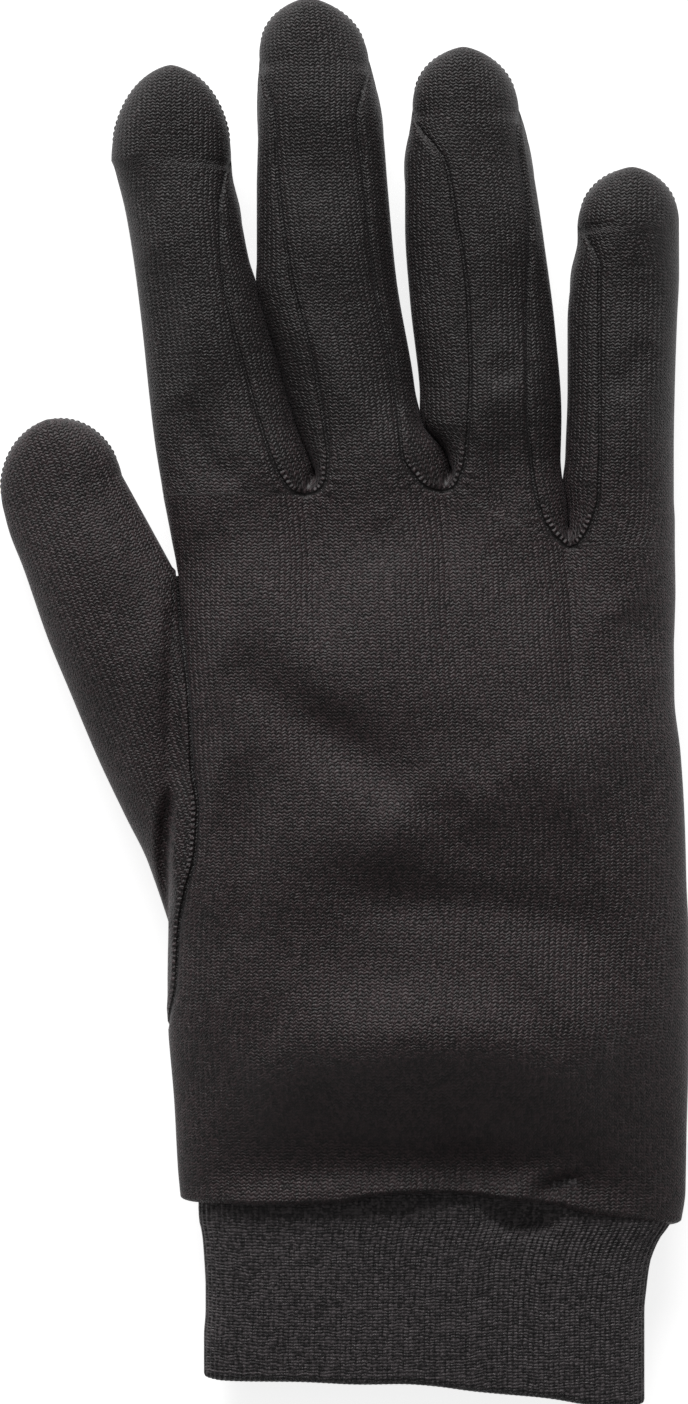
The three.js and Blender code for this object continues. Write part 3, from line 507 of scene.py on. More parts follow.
def hand_grid(above):
    """The hand's back or palm: every column runs from the crotch row to the hem and round the roll over the
    cuff. The section is a full rounded one, and near the crotch row it melts into the fingers' tops."""
    t = np.linspace(0, 1, (COLUMNS if above else PALM_COLUMNS) + 1)
    level = "upper" if above else "lower"
    parts = []
    for f in range(len(fingers)):
        rows = finger_rows(f, np.array([0.0]))
        points, _ = panel(rows, t, above)
        angle = mix(rows[level + " angle", 0][0], rows[level + " angle", 1][0], t)
        parts.append(np.column_stack([points[0], np.sin(np.radians(angle))])[(1 if f else 0):])
    root = np.vstack(parts)
    spread = [
        opening_start * np.linspace(0, 1, ROWS_ABOVE_THUMB, endpoint=False) ** ROW_PULL,
        np.linspace(opening_start, opening_end, ROWS_AT_THUMB, endpoint=False),
        np.linspace(opening_end, roll_start, ROWS_BELOW_THUMB + 1),
        np.full(ROLL_ROWS, roll_start),
    ]
    along = np.concatenate(spread)[:, None]
    roll = np.concatenate([np.zeros(len(along) - ROLL_ROWS), np.linspace(0, 90, ROLL_ROWS + 1)[1:]])
    roll = np.radians(roll)[:, None]
    inset = ROLL_INSET * (1 - np.cos(roll))
    left = from_table(HAND_TABLE, 1, along) * PALM_WIDTH + inset
    seam = from_table(HAND_TABLE, 2, along) * PALM_WIDTH + inset
    right = PALM_WIDTH * (1 + from_table(HAND_TABLE, 3, along)) - inset
    across = root[None, :, 0] / PALM_WIDTH
    x = mix(np.maximum(left, seam), right, across)
    hem = mix(-HAND_LENGTH, -LITTLE_CROTCH_DROP - OUTER_HAND_LENGTH, across)
    y = mix(root[None, :, 1], hem, along) - ROLL_RADIUS * np.sin(roll)
    if above:
        y = y + from_table(HEM_TABLE, 1, across) * ease((along - HEM_WAVE_START) / HEM_WAVE_LENGTH)
    place = np.clip(2 * (x - left) / (right - left) - 1, -1, 1)
    full = np.sqrt(np.clip(1 - np.abs(place) ** SIDE_FULLNESS, 0, None))
    blend = ease(along * HAND_LENGTH / KNUCKLE_BLEND)
    half = mix(from_table(HAND_TABLE, 4, along) * HAND_HALF_HEIGHT, CUFF_HALF_HEIGHT, 1 - np.cos(roll))
    half = mix(KNUCKLE_HALF_HEIGHT, half, blend)
    rise = mix(root[None, :, 3], full, blend)
    points = np.dstack([x, y, section_height(half, rise, above)])
    points[0] = root[:, :3]
    return points, rise * np.cos(roll) if above else np.zeros_like(rise)


def turned(lean):
    return np.array([-math.sin(math.radians(lean)), math.cos(math.radians(lean))])


def thumb_grid(back, back_relief, palm):
    """The thumb: rings that start on the opening's loop and turn into a flattened tube with a round end."""
    span = slice(ROWS_ABOVE_THUMB, ROWS_ABOVE_THUMB + ROWS_AT_THUMB + 1)
    top, under = back[span, 0], palm[span, 0]
    count = len(top) - 1
    loop = np.vstack([top, under[1:count][::-1]])
    loop_relief = np.concatenate([back_relief[span, 0], np.zeros(count - 1)])
    origin, end = top[0, :2], top[count, :2]
    axis = turned(THUMB_LEAN)
    out = np.array([-axis[1], axis[0]])
    cap_right, cap_left = (
        origin + axis * ahead * THUMB_REACH + out * aside * THUMB_WIDTH
        for ahead, aside in (THUMB_CAP_RIGHT, THUMB_CAP_LEFT))
    tip = origin + axis * THUMB_REACH + out * THUMB_TIP_OUT
    s = np.linspace(0, 1, THUMB_ROWS + 1)[:, None]
    read = [from_table(THUMB_TABLE, k, s) for k in range(1, 6)]
    right = mix(origin, cap_right, read[0])
    left = mix(end, cap_left, read[1]) - out * read[2] * THUMB_WIDTH * np.minimum(1, s * THUMB_JOIN)
    half = THUMB_HALF_HEIGHT * read[3]
    middle = mix((top[0, 2] + top[count, 2]) / 2, THUMB_HALF_HEIGHT, read[4])
    k = np.arange(2 * count)
    above = k <= count
    k = np.where(above, k, 2 * count - k)
    opening_angle = np.arccos(1 - 2 * k / count)
    angle = mix(opening_angle, math.pi * k / count, s)
    plan = mix(right[:, None, :], left[:, None, :], ((1 - np.cos(angle)) / 2)[..., None])
    rise = np.sin(angle)
    z = np.where(above, middle + half * rise, np.maximum(0, middle - half * lower_share(rise)))
    rings = np.dstack([plan, z])
    joined = ease(s * THUMB_JOIN)
    rings = mix(loop[None], rings, joined[..., None])
    relief = mix(loop_relief[None], np.where(above, rise, 0), joined)
    centre = np.append((cap_right + cap_left) / 2, THUMB_HALF_HEIGHT)
    points, relief = round_end(rings, relief, centre, np.append(tip, THUMB_HALF_HEIGHT))
    lowered = ease((points[..., :2] - origin) @ axis / THUMB_REACH)
    points[..., 2] *= mix(1, THUMB_END_HEIGHT, lowered)
    return np.concatenate([points, points[:, :1]], 1), np.concatenate([relief, relief[:, :1]], 1)


def line_run(line):
    """Length run along a line of points, from its first one."""
    return np.concatenate([[0], np.cumsum(np.linalg.norm(np.diff(line, axis=0), axis=1))])


def points_along(line, run, at):
    """Points of a line at given lengths run along it."""
    return np.column_stack([np.interp(at, run, line[:, k]) for k in range(3)])


def line_distance(x, y, line):
    """Distance from points to a line of straight pieces, and how far along it the nearest place lies."""
    line = np.asarray(line, float)
    starts = line_run(line)
    lengths = np.diff(starts)
    best = np.full(x.shape, np.inf)
    share = np.zeros(x.shape)
    for k, length in enumerate(lengths):
        step = (line[k + 1] - line[k]) / length
        run = np.clip((x - line[k, 0]) * step[0] + (y - line[k, 1]) * step[1], 0, length)
        distance = np.hypot(x - line[k, 0] - step[0] * run, y - line[k, 1] - step[1] * run)
        nearer = distance < best
        best = np.where(nearer, distance, best)
        share = np.where(nearer, (starts[k] + run) / starts[-1], share)
    return best, share


def relief_of(x, y, folds):
    """Height of the folds: each is a bell across its line that dies out smoothly at both ends. The table
    gives where the light from the fingertips catches a fold, so its crest lies a little lower down."""
    total = np.zeros(x.shape)
    for _, line, width, height in folds:
        line = np.array(line, float)
        across = abs(line[-1, 0] - line[0, 0]) / np.linalg.norm(line[-1] - line[0])
        line[:, 1] -= LIT_SIDE * width * across
        distance, share = line_distance(x, y, line)
        taper = 1 - np.abs(2 * share - 1) ** 3
        total += height * taper * np.exp(-((distance / width) ** 2))
    return total


draw = np.random.default_rng(7)
waves = [
    (draw.uniform(*WAVE_RATES), draw.uniform(0, 2 * math.pi), draw.uniform(0, 2 * math.pi))
    for _ in range(WAVE_COUNT)
]


def undulation(x, y):
    """Slow unevenness of loose cloth: a sum of waves in all directions, the shorter the lower."""
    total = np.zeros(x.shape)
    for rate, direction, phase in waves:
        ahead = x * math.cos(direction) + y * math.sin(direction)
        total += WAVE_HEIGHT / rate * np.sin(rate * ahead + phase)
    return total


def cloth_map(points, axis, reference, base):
    """Cloth coordinates in mm: along is the place on the axis; across is the length run along each row,
    square to the axis, counted from the column reference, which has the value base."""
    steps = np.diff(points, axis=1)
    ahead = steps[..., 0] * axis[0] + steps[..., 1] * axis[1]
    aside = np.sqrt(np.maximum((steps ** 2).sum(2) - ahead ** 2, 0))
    across = np.concatenate([np.zeros((len(points), 1)), np.cumsum(aside, 1)], 1)
    along = points[..., 0] * axis[0] + points[..., 1] * axis[1]
    return across - across[:, reference:reference + 1] + base, along


UPWARDS = (0, 1)  # the axis of all cloth but the thumb's
# All patches: the piece, which part of the glove it is, its grid, its share of relief, its cloth coordinates,
# and whether its faces turn
patches = []


def add_patch(piece, part, points, relief, across, along, turn):
    patches.append({
        "piece": piece, "part": part, "points": points, "relief": relief,
        "cloth": np.dstack([across, along]), "turn": turn,
    })


back_hand, back_hand_relief = hand_grid(True)
palm_hand, palm_hand_relief = hand_grid(False)
layers = [
    ("back_panel", True, COLUMNS, back_hand, back_hand_relief),
    ("palm_panel", False, PALM_COLUMNS, palm_hand, palm_hand_relief),
]
for piece, above, columns, hand, hand_relief in layers:
    across, along = cloth_map(hand, UPWARDS, 2 * columns, hand[0, 2 * columns, 0])
    add_patch(piece, "hand", hand, hand_relief, across, along, above)
    for f in range(len(fingers)):
        grid, relief = finger_grid(f, above)
        base = across[0, f * columns + columns // 2]
        add_patch(piece, "finger", grid, relief, *cloth_map(grid, UPWARDS, columns // 2, base), not above)
strip_t = np.linspace(0, 1, STRIP_COLUMNS + 1)
for k in range(len(fingers) - 1):
    down, down_relief = strip(finger_rows(k, finger_along), 1, strip_t)
    up, up_relief = strip(finger_rows(k + 1, finger_along), 0, strip_t)
    points = np.vstack([down[::-1], up[1:]])
    relief = np.vstack([down_relief[::-1], up_relief[1:]])
    across, along = cloth_map(points, UPWARDS, STRIP_COLUMNS // 2, 0)
    # The strip turns round at the crotch row, so that its length runs on up the other finger
    turn_row = along[FINGER_ROWS]
    climbed = np.abs(along.mean(1) - turn_row.mean())[:, None]
    uneven = (turn_row - turn_row.mean()) * np.exp(-climbed / TURN_FADE)
    along = along - turn_row.mean() - uneven
    along[:FINGER_ROWS] *= -1
    name = f"fourchette_{fingers[k]['name']}_{fingers[k + 1]['name']}"
    add_patch(name, "strip", points, relief, across, along, True)
thumb_points, thumb_relief = thumb_grid(back_hand, back_hand_relief, palm_hand)
thumb_axis = turned(THUMB_LEAN)
thumb_base = thumb_points[:, ROWS_AT_THUMB // 2, :2] @ np.array([-thumb_axis[1], thumb_axis[0]])
across, along = cloth_map(thumb_points, thumb_axis, ROWS_AT_THUMB // 2, thumb_base[:, None])
add_patch("thumb", "thumb", thumb_points, thumb_relief, across, along, True)

# The glove's place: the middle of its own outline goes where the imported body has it
plan = np.vstack([patch["points"].reshape(-1, 3) for patch in patches])
cad_middle = (np.array(cad_low) + np.array(cad_high)) / 2 / MM
shift = np.array([
    cad_middle[0] - (plan[:, 0].min() + plan[:, 0].max()) / 2,
    float(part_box("back_panel")[1][1]) / MM - plan[:, 1].max(), 0])
for patch in patches:
    points = patch["points"] = patch["points"] + shift
    folds = relief_of(points[..., 0], points[..., 1], FOLDS) + undulation(points[..., 0], points[..., 1])
    points[..., 2] += folds * patch["relief"]


def grid_faces(rows, columns, turn):
    """Two triangles for each cell of a grid, as numbers of its points."""
    at = np.arange(rows * columns).reshape(rows, columns)
    a, b, c, d = at[:-1, :-1], at[:-1, 1:], at[1:, 1:], at[1:, :-1]
    cells = np.stack([a, b, c, a, c, d], -1).reshape(-1, 3)
    return cells[:, ::-1] if turn else cells


# The skin: all patches in one list, with points at the same place welded, so that seams share their normals
offset = 0
for patch in patches:
    rows, columns = patch["points"].shape[:2]
    patch["faces"] = grid_faces(rows, columns, patch["turn"]) + offset
    offset += rows * columns
all_points = np.vstack([patch["points"].reshape(-1, 3) for patch in patches])
all_cloth = np.vstack([patch["cloth"].reshape(-1, 2) for patch in patches])


def welded_points(points, step):
    """Numbers of the points that are kept, and for every point the place of its kept one in that list."""
    rounded = np.round(points / step).astype(np.int64)
    _, first, merged = np.unique(rounded, axis=0, return_index=True, return_inverse=True)
    return first, merged.reshape(-1)


first, weld = welded_points(all_points, WELD_STEP)
skin = all_points[first]
skin_faces = np.vstack([patch["faces"] for patch in patches])


def vertex_normals(points, triangles):
    """Normals at points: the sum of the faces round each, weighted by their area."""
    a, b, c = (points[triangles[:, k]] for k in range(3))
    face = np.cross(b - a, c - a)
    total = np.zeros_like(points)
    for k in range(3):
        np.add.at(total, triangles[:, k], face)
    length = np.linalg.norm(total, axis=1, keepdims=True)
    return total / np.where(length > 0, length, 1)


def live(triangles):
    """Leaves out triangles that closed up when their corners were welded."""
    a, b, c = triangles.T
    return (a != b) & (b != c) & (c != a)


welded = weld[skin_faces]
keep = live(welded)
normals = vertex_normals(skin, welded[keep])


def opening_edge(hand):
    """The edge of the thumb's opening on a grid of the hand."""
    return hand["points"][ROWS_ABOVE_THUMB:ROWS_ABOVE_THUMB + ROWS_AT_THUMB + 1, 0]


# Sewn seams: the line of points along each, the length run from its start, how plainly its chain of stitches
# shows, which is round the crotches and down the back of the thumb, and how deep it is
seams = []
for patch in patches:
    if patch["part"] == "strip":
        for line in (patch["points"][:, 0], patch["points"][:, -1]):
            run = line_run(line)
            from_crotch = (run - run[FINGER_ROWS]) / CROTCH_CHAIN
            from_end = np.minimum(run, run[-1] - run)
            seams.append((line, run, np.exp(-(from_crotch ** 4)), ease(from_end / SEAM_FADE)))
for patch in patches:
    if patch["part"] == "hand":
        line = opening_edge(patch)
        shown = ease((THUMB_CHAIN_START - line[:, 1]) / THUMB_CHAIN_FADE)
        seams.append((line, line_run(line), shown, np.ones(len(line))))


def measured(lines, points, step=0.25):
    """Distance in mm from each point to the nearest line, and that place's run and further measures."""
    fine = []
    for line, run, *measures in lines:
        at = np.arange(0, run[-1], step)
        read = [np.interp(at, run, measure) for measure in measures]
        fine.append(np.column_stack([points_along(line, run, at), at, *read]))
    fine = np.vstack(fine)
    tree = KDTree(len(fine))
    for k, place in enumerate(fine):
        tree.insert(place[:3], k)
    tree.balance()
    found = [tree.find(place)[1:] for place in points]
    rows = [item[0] for item in found]
    return np.array([item[1] for item in found]), *fine[rows, 3:].T


seam_distance, seam_run, seam_show, seam_strength = measured(seams, skin)


def points_in(parts):
    """Marks the points of the skin that belong to some parts of the glove."""
    inside = np.zeros(len(skin), bool)
    for patch in patches:
        if patch["part"] in parts:
            inside[weld[patch["faces"]].ravel()] = True
    return inside


# The strips and the thumb lie over the folded edges of their neighbours, and show the stitches
in_strip = points_in(("strip", "thumb"))
# Painted shade: the upper part of the fingers and strips is darkened in the cloth's tone
finger_painted_shade = points_in(("finger", "strip")) * ease((skin[:, 1] - FINGER_SHADE_START) / FINGER_SHADE_LENGTH)
welt = WELT_HEIGHT * np.sin(math.pi * np.clip(seam_distance / WELT_REACH, 0, 1)) ** 2 * in_strip
dip = DIP_DEPTH * np.exp(-((seam_distance / DIP_WIDTH) ** 2))
pucker = PUCKER_HEIGHT * np.cos(2 * math.pi * seam_run / PUCKER_PERIOD) * seam_show
pucker *= np.exp(-(((seam_distance - PUCKER_PLACE) / PUCKER_PLACE) ** 2)) * ~in_strip
outer_skin = skin + normals * ((welt - dip) * seam_strength + pucker)[:, None]
outer_skin[:, 2] = np.maximum(outer_skin[:, 2], 0)
outer_normals = vertex_normals(outer_skin, welded[keep])

# The ends of the fingers and the thumb: the outline of each round end, drawn a little inwards
ends = {}


def end_line(grid, first, left, right):
    """The outline of a round end, from its row first on one side over the tip to the other side."""
    line = np.vstack([grid[first:, left], grid[first:, right][::-1][1:]])
    inward = grid[first:].mean((0, 1)) - line
    inward[:, 2] = 0
    return line + inward / np.linalg.norm(inward, axis=1, keepdims=True) * OVERLOCK_INSET


for f, finger in enumerate(fingers):
    ends[finger["name"]] = end_line(patches[1 + f]["points"], FINGER_ROWS, 0, -1)
ends["thumb"] = end_line(patches[-1]["points"], THUMB_ROWS - 2, ROWS_AT_THUMB, 0)
end_lines = [(line, line_run(line)) for line in ends.values()]
end_distance = measured(end_lines, skin)[0]


def make_mesh(name, points, triangles, cloth=None, normals=None, values=None):
    """A mesh from points in mm and triangles, with cloth coordinates for each corner, and normals and values
    for each point."""
    mesh = bpy.data.meshes.new(name)
    mesh.vertices.add(len(points))
    mesh.vertices.foreach_set("co", (np.asarray(points) * MM).astype(np.float32).ravel())
    mesh.loops.add(triangles.size)
    mesh.loops.foreach_set("vertex_index", triangles.astype(np.int32).ravel())
    mesh.polygons.add(len(triangles))
    mesh.polygons.foreach_set("loop_start", np.arange(0, triangles.size, 3, dtype=np.int32))
    mesh.polygons.foreach_set("use_smooth", np.ones(len(triangles), bool))
    if cloth is not None:
        layer = mesh.uv_layers.new(name="cloth")
        layer.data.foreach_set("uv", cloth.astype(np.float32).ravel())
    for key, value in (values or {}).items():
        attribute = mesh.attributes.new(key, "FLOAT", "POINT")
        attribute.data.foreach_set("value", value.astype(np.float32))
    mesh.update(calc_edges=True)
    mesh.validate()
    if normals is not None:
        mesh.normals_split_custom_set_from_vertices(normals.astype(np.float32))
    made = bpy.data.objects.new(name, mesh)
    bpy.context.scene.collection.objects.link(made)
    return made


def rim_edges(triangles):
    """Edges that only one triangle has, in that triangle's direction."""
    edges = np.vstack([triangles[:, [0, 1]], triangles[:, [1, 2]], triangles[:, [2, 0]]])
    size = edges.max() + 1
    forward = edges[:, 0] * size + edges[:, 1]
    backward = edges[:, 1] * size + edges[:, 0]
    return edges[~np.isin(forward, backward)]


def shell(piece):
    """A piece of cloth with a wall: its outer faces, the same ones further in, and a rim between them."""
    own = np.vstack([patch["faces"] for patch in patches if patch["piece"] == piece])
    triangles = weld[own]
    kept = live(triangles)
    triangles, corners = triangles[kept], all_cloth[own[kept]]
    ids, local = np.unique(triangles, return_inverse=True)
    local = local.reshape(-1, 3)
    count = len(ids)
    inner = skin[ids] - normals[ids] * WALL
    inner[:, 2] = np.maximum(inner[:, 2], LOWEST_INSIDE)
    rim = rim_edges(local)
    u, v = rim[:, 0], rim[:, 1]
    band = np.vstack([np.column_stack([v, u, u + count]), np.column_stack([v, u + count, v + count])])
    faces = np.vstack([local, local[:, ::-1] + count, band])
    band_cloth = np.zeros((len(band), 3, 2))
    cloth = np.concatenate([corners, corners[:, ::-1], band_cloth])
    measures = {"seam": seam_distance, "run": seam_run, "show": seam_show, "end": end_distance,
                "strip": in_strip * 1.0, "finger": finger_painted_shade}
    both = {key: np.tile(value[ids], 2) for key, value in measures.items()}
    points = np.vstack([outer_skin[ids], inner])
    directions = np.vstack([outer_normals[ids], -normals[ids]])
    return make_mesh(piece, points, faces, cloth, directions, both)


def cuff_loops(down):
    """The middle line of the cuff's layer: for each share of the way down a closed loop round the wrist. Its
    section is a squared ellipse, and its points lie at even steps, POINTS_A_RIB to a rib."""
    angle = np.linspace(0, 2 * math.pi, CUFF_ROUND_STEPS)
    across = (1 - np.cos(angle)) / 2
    upper = np.sin(angle) > 0
    straight = mix(CUFF_EDGE[0, 0], CUFF_EDGE[-1, 0], across)
    lifted = MOUTH_LIFT * np.exp(-(((straight - MOUTH_PLACE) / MOUTH_REACH) ** 4)) * upper
    lower = from_table(CUFF_EDGE, 1, straight) + lifted + CUFF_WALL / 2
    rise = np.abs(np.sin(angle)) ** CUFF_FULLNESS
    height = section_height(CUFF_HALF_HEIGHT, rise, upper)
    loops = []
    for share in down:
        y = mix(CUFF_TOP, lower, share)
        x = mix(from_table(CUFF_TABLE, 1, y), from_table(CUFF_TABLE, 2, y), across)
        z = height + relief_of(x, y, CUFF_FOLDS) * np.where(upper, rise, 0)
        loop = np.column_stack([x, y, z])
        length = line_run(loop)
        at = np.linspace(0, length[-1], RIBS * POINTS_A_RIB + 1)
        loops.append(points_along(loop, length, at))
    return np.array(loops)


def cuff():
    """The cuff, one folded layer of rib: loops taken down the outside, round the fold at the lower edge and
    up the inside. The ribs are cosine waves square to the cloth."""
    fold = np.radians(np.linspace(0, 180, CUFF_FOLD_ROWS + 2))[1:-1]
    depth = np.concatenate([np.zeros(CUFF_ROWS), (1 - np.cos(fold)) / 2, np.ones(CUFF_INNER_ROWS)])
    past = np.concatenate([np.zeros(CUFF_ROWS), np.sin(fold), np.zeros(CUFF_INNER_ROWS)])
    down = np.concatenate([
        np.linspace(0, 1, CUFF_ROWS), np.ones(CUFF_FOLD_ROWS), np.linspace(1, 0, CUFF_INNER_ROWS)])
    grid = cuff_loops(down)
    around = np.arange(grid.shape[1]) / POINTS_A_RIB
    sideways = np.roll(grid[:, :-1], -1, 1) - np.roll(grid[:, :-1], 1, 1)
    sideways = np.concatenate([sideways, sideways[:, :1]], 1)
    direction = np.cross(sideways, np.array([0, 1, 0]))
    direction /= np.linalg.norm(direction, axis=2, keepdims=True)
    outward = 1 if direction[0, grid.shape[1] // 4, 2] > 0 else -1
    direction = direction * outward
    rib = RIB_HEIGHT * np.cos(2 * math.pi * around)[None, :]
    side = np.where(depth < 0.5, 1, -1)[:, None]
    points = grid + direction * (rib * side - depth[:, None] * CUFF_WALL)[..., None]
    points[..., 1] -= (past * CUFF_WALL / 2)[:, None]
    lowest = ease((points[..., 1] - CUFF_LIFT_START) / CUFF_LIFT_LENGTH)
    points[..., 2] = np.maximum(points[..., 2], lowest)
    across = np.tile(around[None, :], (len(points), 1))
    climbs = np.linalg.norm(np.diff(grid, axis=0), axis=2)
    along = np.concatenate([np.zeros((1, grid.shape[1])), np.cumsum(climbs, 0)], 0) + past[:, None]
    # The upper ends of the outside and the inside are joined, so that the layer is closed
    points = np.concatenate([points, points[:1]], 0)
    across = np.concatenate([across, across[:1]], 0)
    along = np.concatenate([along, along[-1:] + 1], 0)
    faces = grid_faces(*points.shape[:2], outward > 0)
    flat = points.reshape(-1, 3)
    first_of, merged = welded_points(flat, CUFF_WELD_STEP)
    triangles = merged[faces]
    kept = live(triangles)
    cloth = np.dstack([across, along]).reshape(-1, 2)[faces[kept]]
    from_fold = np.abs(along - along[CUFF_ROWS - 1]).reshape(-1)
    values = {"fold": from_fold[first_of]}
    return make_mesh("rib_cuff", flat[first_of], triangles[kept], cloth, values=values)


pieces = {}
for name in dict.fromkeys(patch["piece"] for patch in patches):
    pieces[name] = shell(name)
pieces["rib_cuff"] = cuff()


def tube(line, radius, around=8):
    """A thread along a line of points: rings of radius given for each point, closed at both ends."""
    line = np.asarray(line, float)
    ahead = np.gradient(line, axis=0)
    ahead /= np.linalg.norm(ahead, axis=1, keepdims=True)
    side = np.cross(ahead, [0, 0, 1.0])
    side /= np.linalg.norm(side, axis=1, keepdims=True)
    up = np.cross(side, ahead)
    angle = np.linspace(0, 2 * math.pi, around, endpoint=False)
    radius = np.broadcast_to(radius, len(line))[:, None, None]
    outward = np.cos(angle)[:, None] * side[:, None] + np.sin(angle)[:, None] * up[:, None]
    rings = line[:, None] + radius * outward
    points = np.vstack([rings.reshape(-1, 3), line[:1], line[-1:]])
    at = np.arange(len(line) * around).reshape(len(line), around)
    nxt = np.roll(at, -1, 1)
    walls = np.vstack([
        np.stack([at[:-1], nxt[:-1], nxt[1:]], -1).reshape(-1, 3),
        np.stack([at[:-1], nxt[1:], at[1:]], -1).reshape(-1, 3)])
    start = np.column_stack([nxt[0], at[0], np.full(around, len(points) - 2)])
    finish = np.column_stack([at[-1], nxt[-1], np.full(around, len(points) - 1)])
    return points, np.vstack([walls, start, finish])


def overlock(name, line):
    """The overlocked end of a finger: a thread wound over the edge, drawn as a bead for each stitch."""
    run = line_run(line)
    at = np.arange(0, run[-1], OVERLOCK_PERIOD / OVERLOCK_POINTS)
    fine = points_along(line, run, at)
    fade = ease(np.minimum(at, at[-1] - at) / OVERLOCK_FADE)
    bead = 1 + np.abs(np.sin(math.pi * at / OVERLOCK_PERIOD))
    radius = OVERLOCK_END_RADIUS + OVERLOCK_RADIUS * bead * fade
    points, triangles = tube(fine, radius)
    return make_mesh(name, points, triangles)


threads = {name: overlock(f"overlock_{name}", line) for name, line in ends.items()}


# Materials
def linear(text):
    """Colour from an sRGB hex text, as linear values."""
    value = [int(text[k:k + 2], 16) / 255 for k in (1, 3, 5)]
    return tuple(v / 12.92 if v <= 0.04045 else ((v + 0.055) / 1.055) ** 2.4 for v in value) + (1.0,)


def add(tree, kind, inputs=None, output=0, **settings):
    """Adds a node, sets its properties, sets or links its inputs, and returns one of its outputs."""
    made = tree.nodes.new(kind)
    for key, value in settings.items():
        setattr(made, key, value)
    for key, value in (inputs or {}).items():
        if isinstance(value, bpy.types.NodeSocket):
            tree.links.new(value, made.inputs[key])
        else:
            made.inputs[key].default_value = value
    return made.outputs[output] if made.outputs else None


MATH = "ShaderNodeMath"
WANDER = 1.1  # how far the columns and courses of the knit wander
TONE_START = -1.02
TONE_WEIGHTS = (0.45, 1.0, 1.2, 0.3)  # of the loops, their specks, the fuzz and slow unevenness
HEIGHT_WEIGHTS = (0.8, 1.2)  # of the specks and the fuzz, beside the loops
# Marks of sewing, and painted shade beside them: how far they lie from a seam, a fingertip's outline or the
# cuff's fold
GROOVE = (0.15, 0.55)
WELT_LINE = 0.25
CHAIN_PLACE = 0.8
CHAIN_HALF_WIDTH = 0.34
BORDER_REACH = 3.2
TOP_STITCH_PLACE = 1.0
TOP_STITCH_HALF_WIDTH = 0.18
TURNED_EDGE_SHADE = (0.3, 0.9)


def knit_loops(tree, cloth, wale, course, slant):
    """V shapes stacked in columns, on cloth coordinates in mm that wander a little: how high the strand
    stands, from 0 to 1, and a chance value for each leg of a loop."""
    drift = add(tree, "ShaderNodeTexNoise", {"Vector": cloth, "Scale": 0.5, "Detail": 3.0}, output="Color")
    drift = add(tree, "ShaderNodeVectorMath", {0: drift, "Scale": WANDER}, operation="SCALE")
    placed = add(tree, "ShaderNodeVectorMath", {0: cloth, 1: drift}, operation="ADD")
    u = add(tree, "ShaderNodeSeparateXYZ", {0: placed}, output="X")
    v = add(tree, "ShaderNodeSeparateXYZ", {0: placed}, output="Y")
    u = add(tree, MATH, {0: u, 1: wale}, operation="DIVIDE")
    v = add(tree, MATH, {0: v, 1: course}, operation="DIVIDE")
    leg = add(tree, MATH, {0: u, 1: 0.5}, operation="PINGPONG")
    row = add(tree, MATH, {0: leg, 1: slant, 2: v}, operation="MULTIPLY_ADD")
    turn = add(tree, MATH, {0: row, 1: 2 * math.pi}, operation="MULTIPLY")
    strand = add(tree, MATH, {0: turn}, operation="SINE")
    strand = add(tree, MATH, {0: strand, 1: 0.5, 2: 0.5}, operation="MULTIPLY_ADD")
    column = add(tree, MATH, {0: u, 1: 4 * math.pi}, operation="MULTIPLY")
    column = add(tree, MATH, {0: column}, operation="COSINE")
    column = add(tree, MATH, {0: column, 1: -0.2, 2: 0.8}, operation="MULTIPLY_ADD")
    loop = add(tree, MATH, {0: strand, 1: column}, operation="MULTIPLY")
    half = add(tree, MATH, {0: u, 1: 2.0}, operation="MULTIPLY")
    half = add(tree, MATH, {0: half}, operation="FLOOR")
    level = add(tree, MATH, {0: row, 1: 0.25}, operation="ADD")
    level = add(tree, MATH, {0: level}, operation="FLOOR")
    cell = add(tree, "ShaderNodeCombineXYZ", {0: half, 1: level})
    return loop, add(tree, "ShaderNodeTexWhiteNoise", {"Vector": cell}, noise_dimensions="2D")


def sewn_marks(tree):
    """The marks of sewing and of shade, each with its weight in the tone and in the height: the groove that
    the stitches pull in, darkened with painted shade, a line of painted shade at the edge of the cloth folded
    under, the chain of stitches where it shows, a darkening towards a fingertip's outline, and painted shade
    over the upper part of a finger."""
    seam, run, show, strip, end, finger = (
        add(tree, "ShaderNodeAttribute", output="Fac", attribute_name=key)
        for key in ("seam", "run", "show", "strip", "end", "finger"))
    # Painted shade in the groove that the stitches pull in: the tone darkens towards the seam line
    groove = add(tree, "ShaderNodeMapRange", {0: seam, 1: GROOVE[0], 2: GROOVE[1], 3: 1.0, 4: 0.0},
                 interpolation_type="SMOOTHSTEP")
    # A thin line of painted shade where the edge of the cloth folded under a strip ends
    fold_edge_painted_shade = add(tree, MATH, {0: seam, 1: WELT_REACH, 2: WELT_LINE}, operation="COMPARE")
    fold_edge_painted_shade = add(tree, MATH, {0: fold_edge_painted_shade, 1: strip}, operation="MULTIPLY")
    beat = add(tree, MATH, {0: run, 1: 2 * math.pi / OVERLOCK_PERIOD}, operation="MULTIPLY")
    beat = add(tree, MATH, {0: beat}, operation="SINE")
    chain = add(tree, MATH, {0: seam, 1: CHAIN_PLACE, 2: CHAIN_HALF_WIDTH}, operation="COMPARE")
    for factor in (show, strip, beat):
        chain = add(tree, MATH, {0: chain, 1: factor}, operation="MULTIPLY")
    # Darker towards a fingertip's outline, within BORDER_REACH of it
    tip_outline_darkening = add(tree, "ShaderNodeMapRange", {0: end, 1: 0.0, 2: BORDER_REACH, 3: 1.0, 4: 0.0},
                 interpolation_type="SMOOTHSTEP")
    return [
        (groove, -1.2, -0.35), (fold_edge_painted_shade, -0.45, -0.12), (chain, 0.6, 0.16), (tip_outline_darkening, -0.4, 0),
        # painted shade over the upper part of a finger
        (finger, -0.5, 0),
    ]


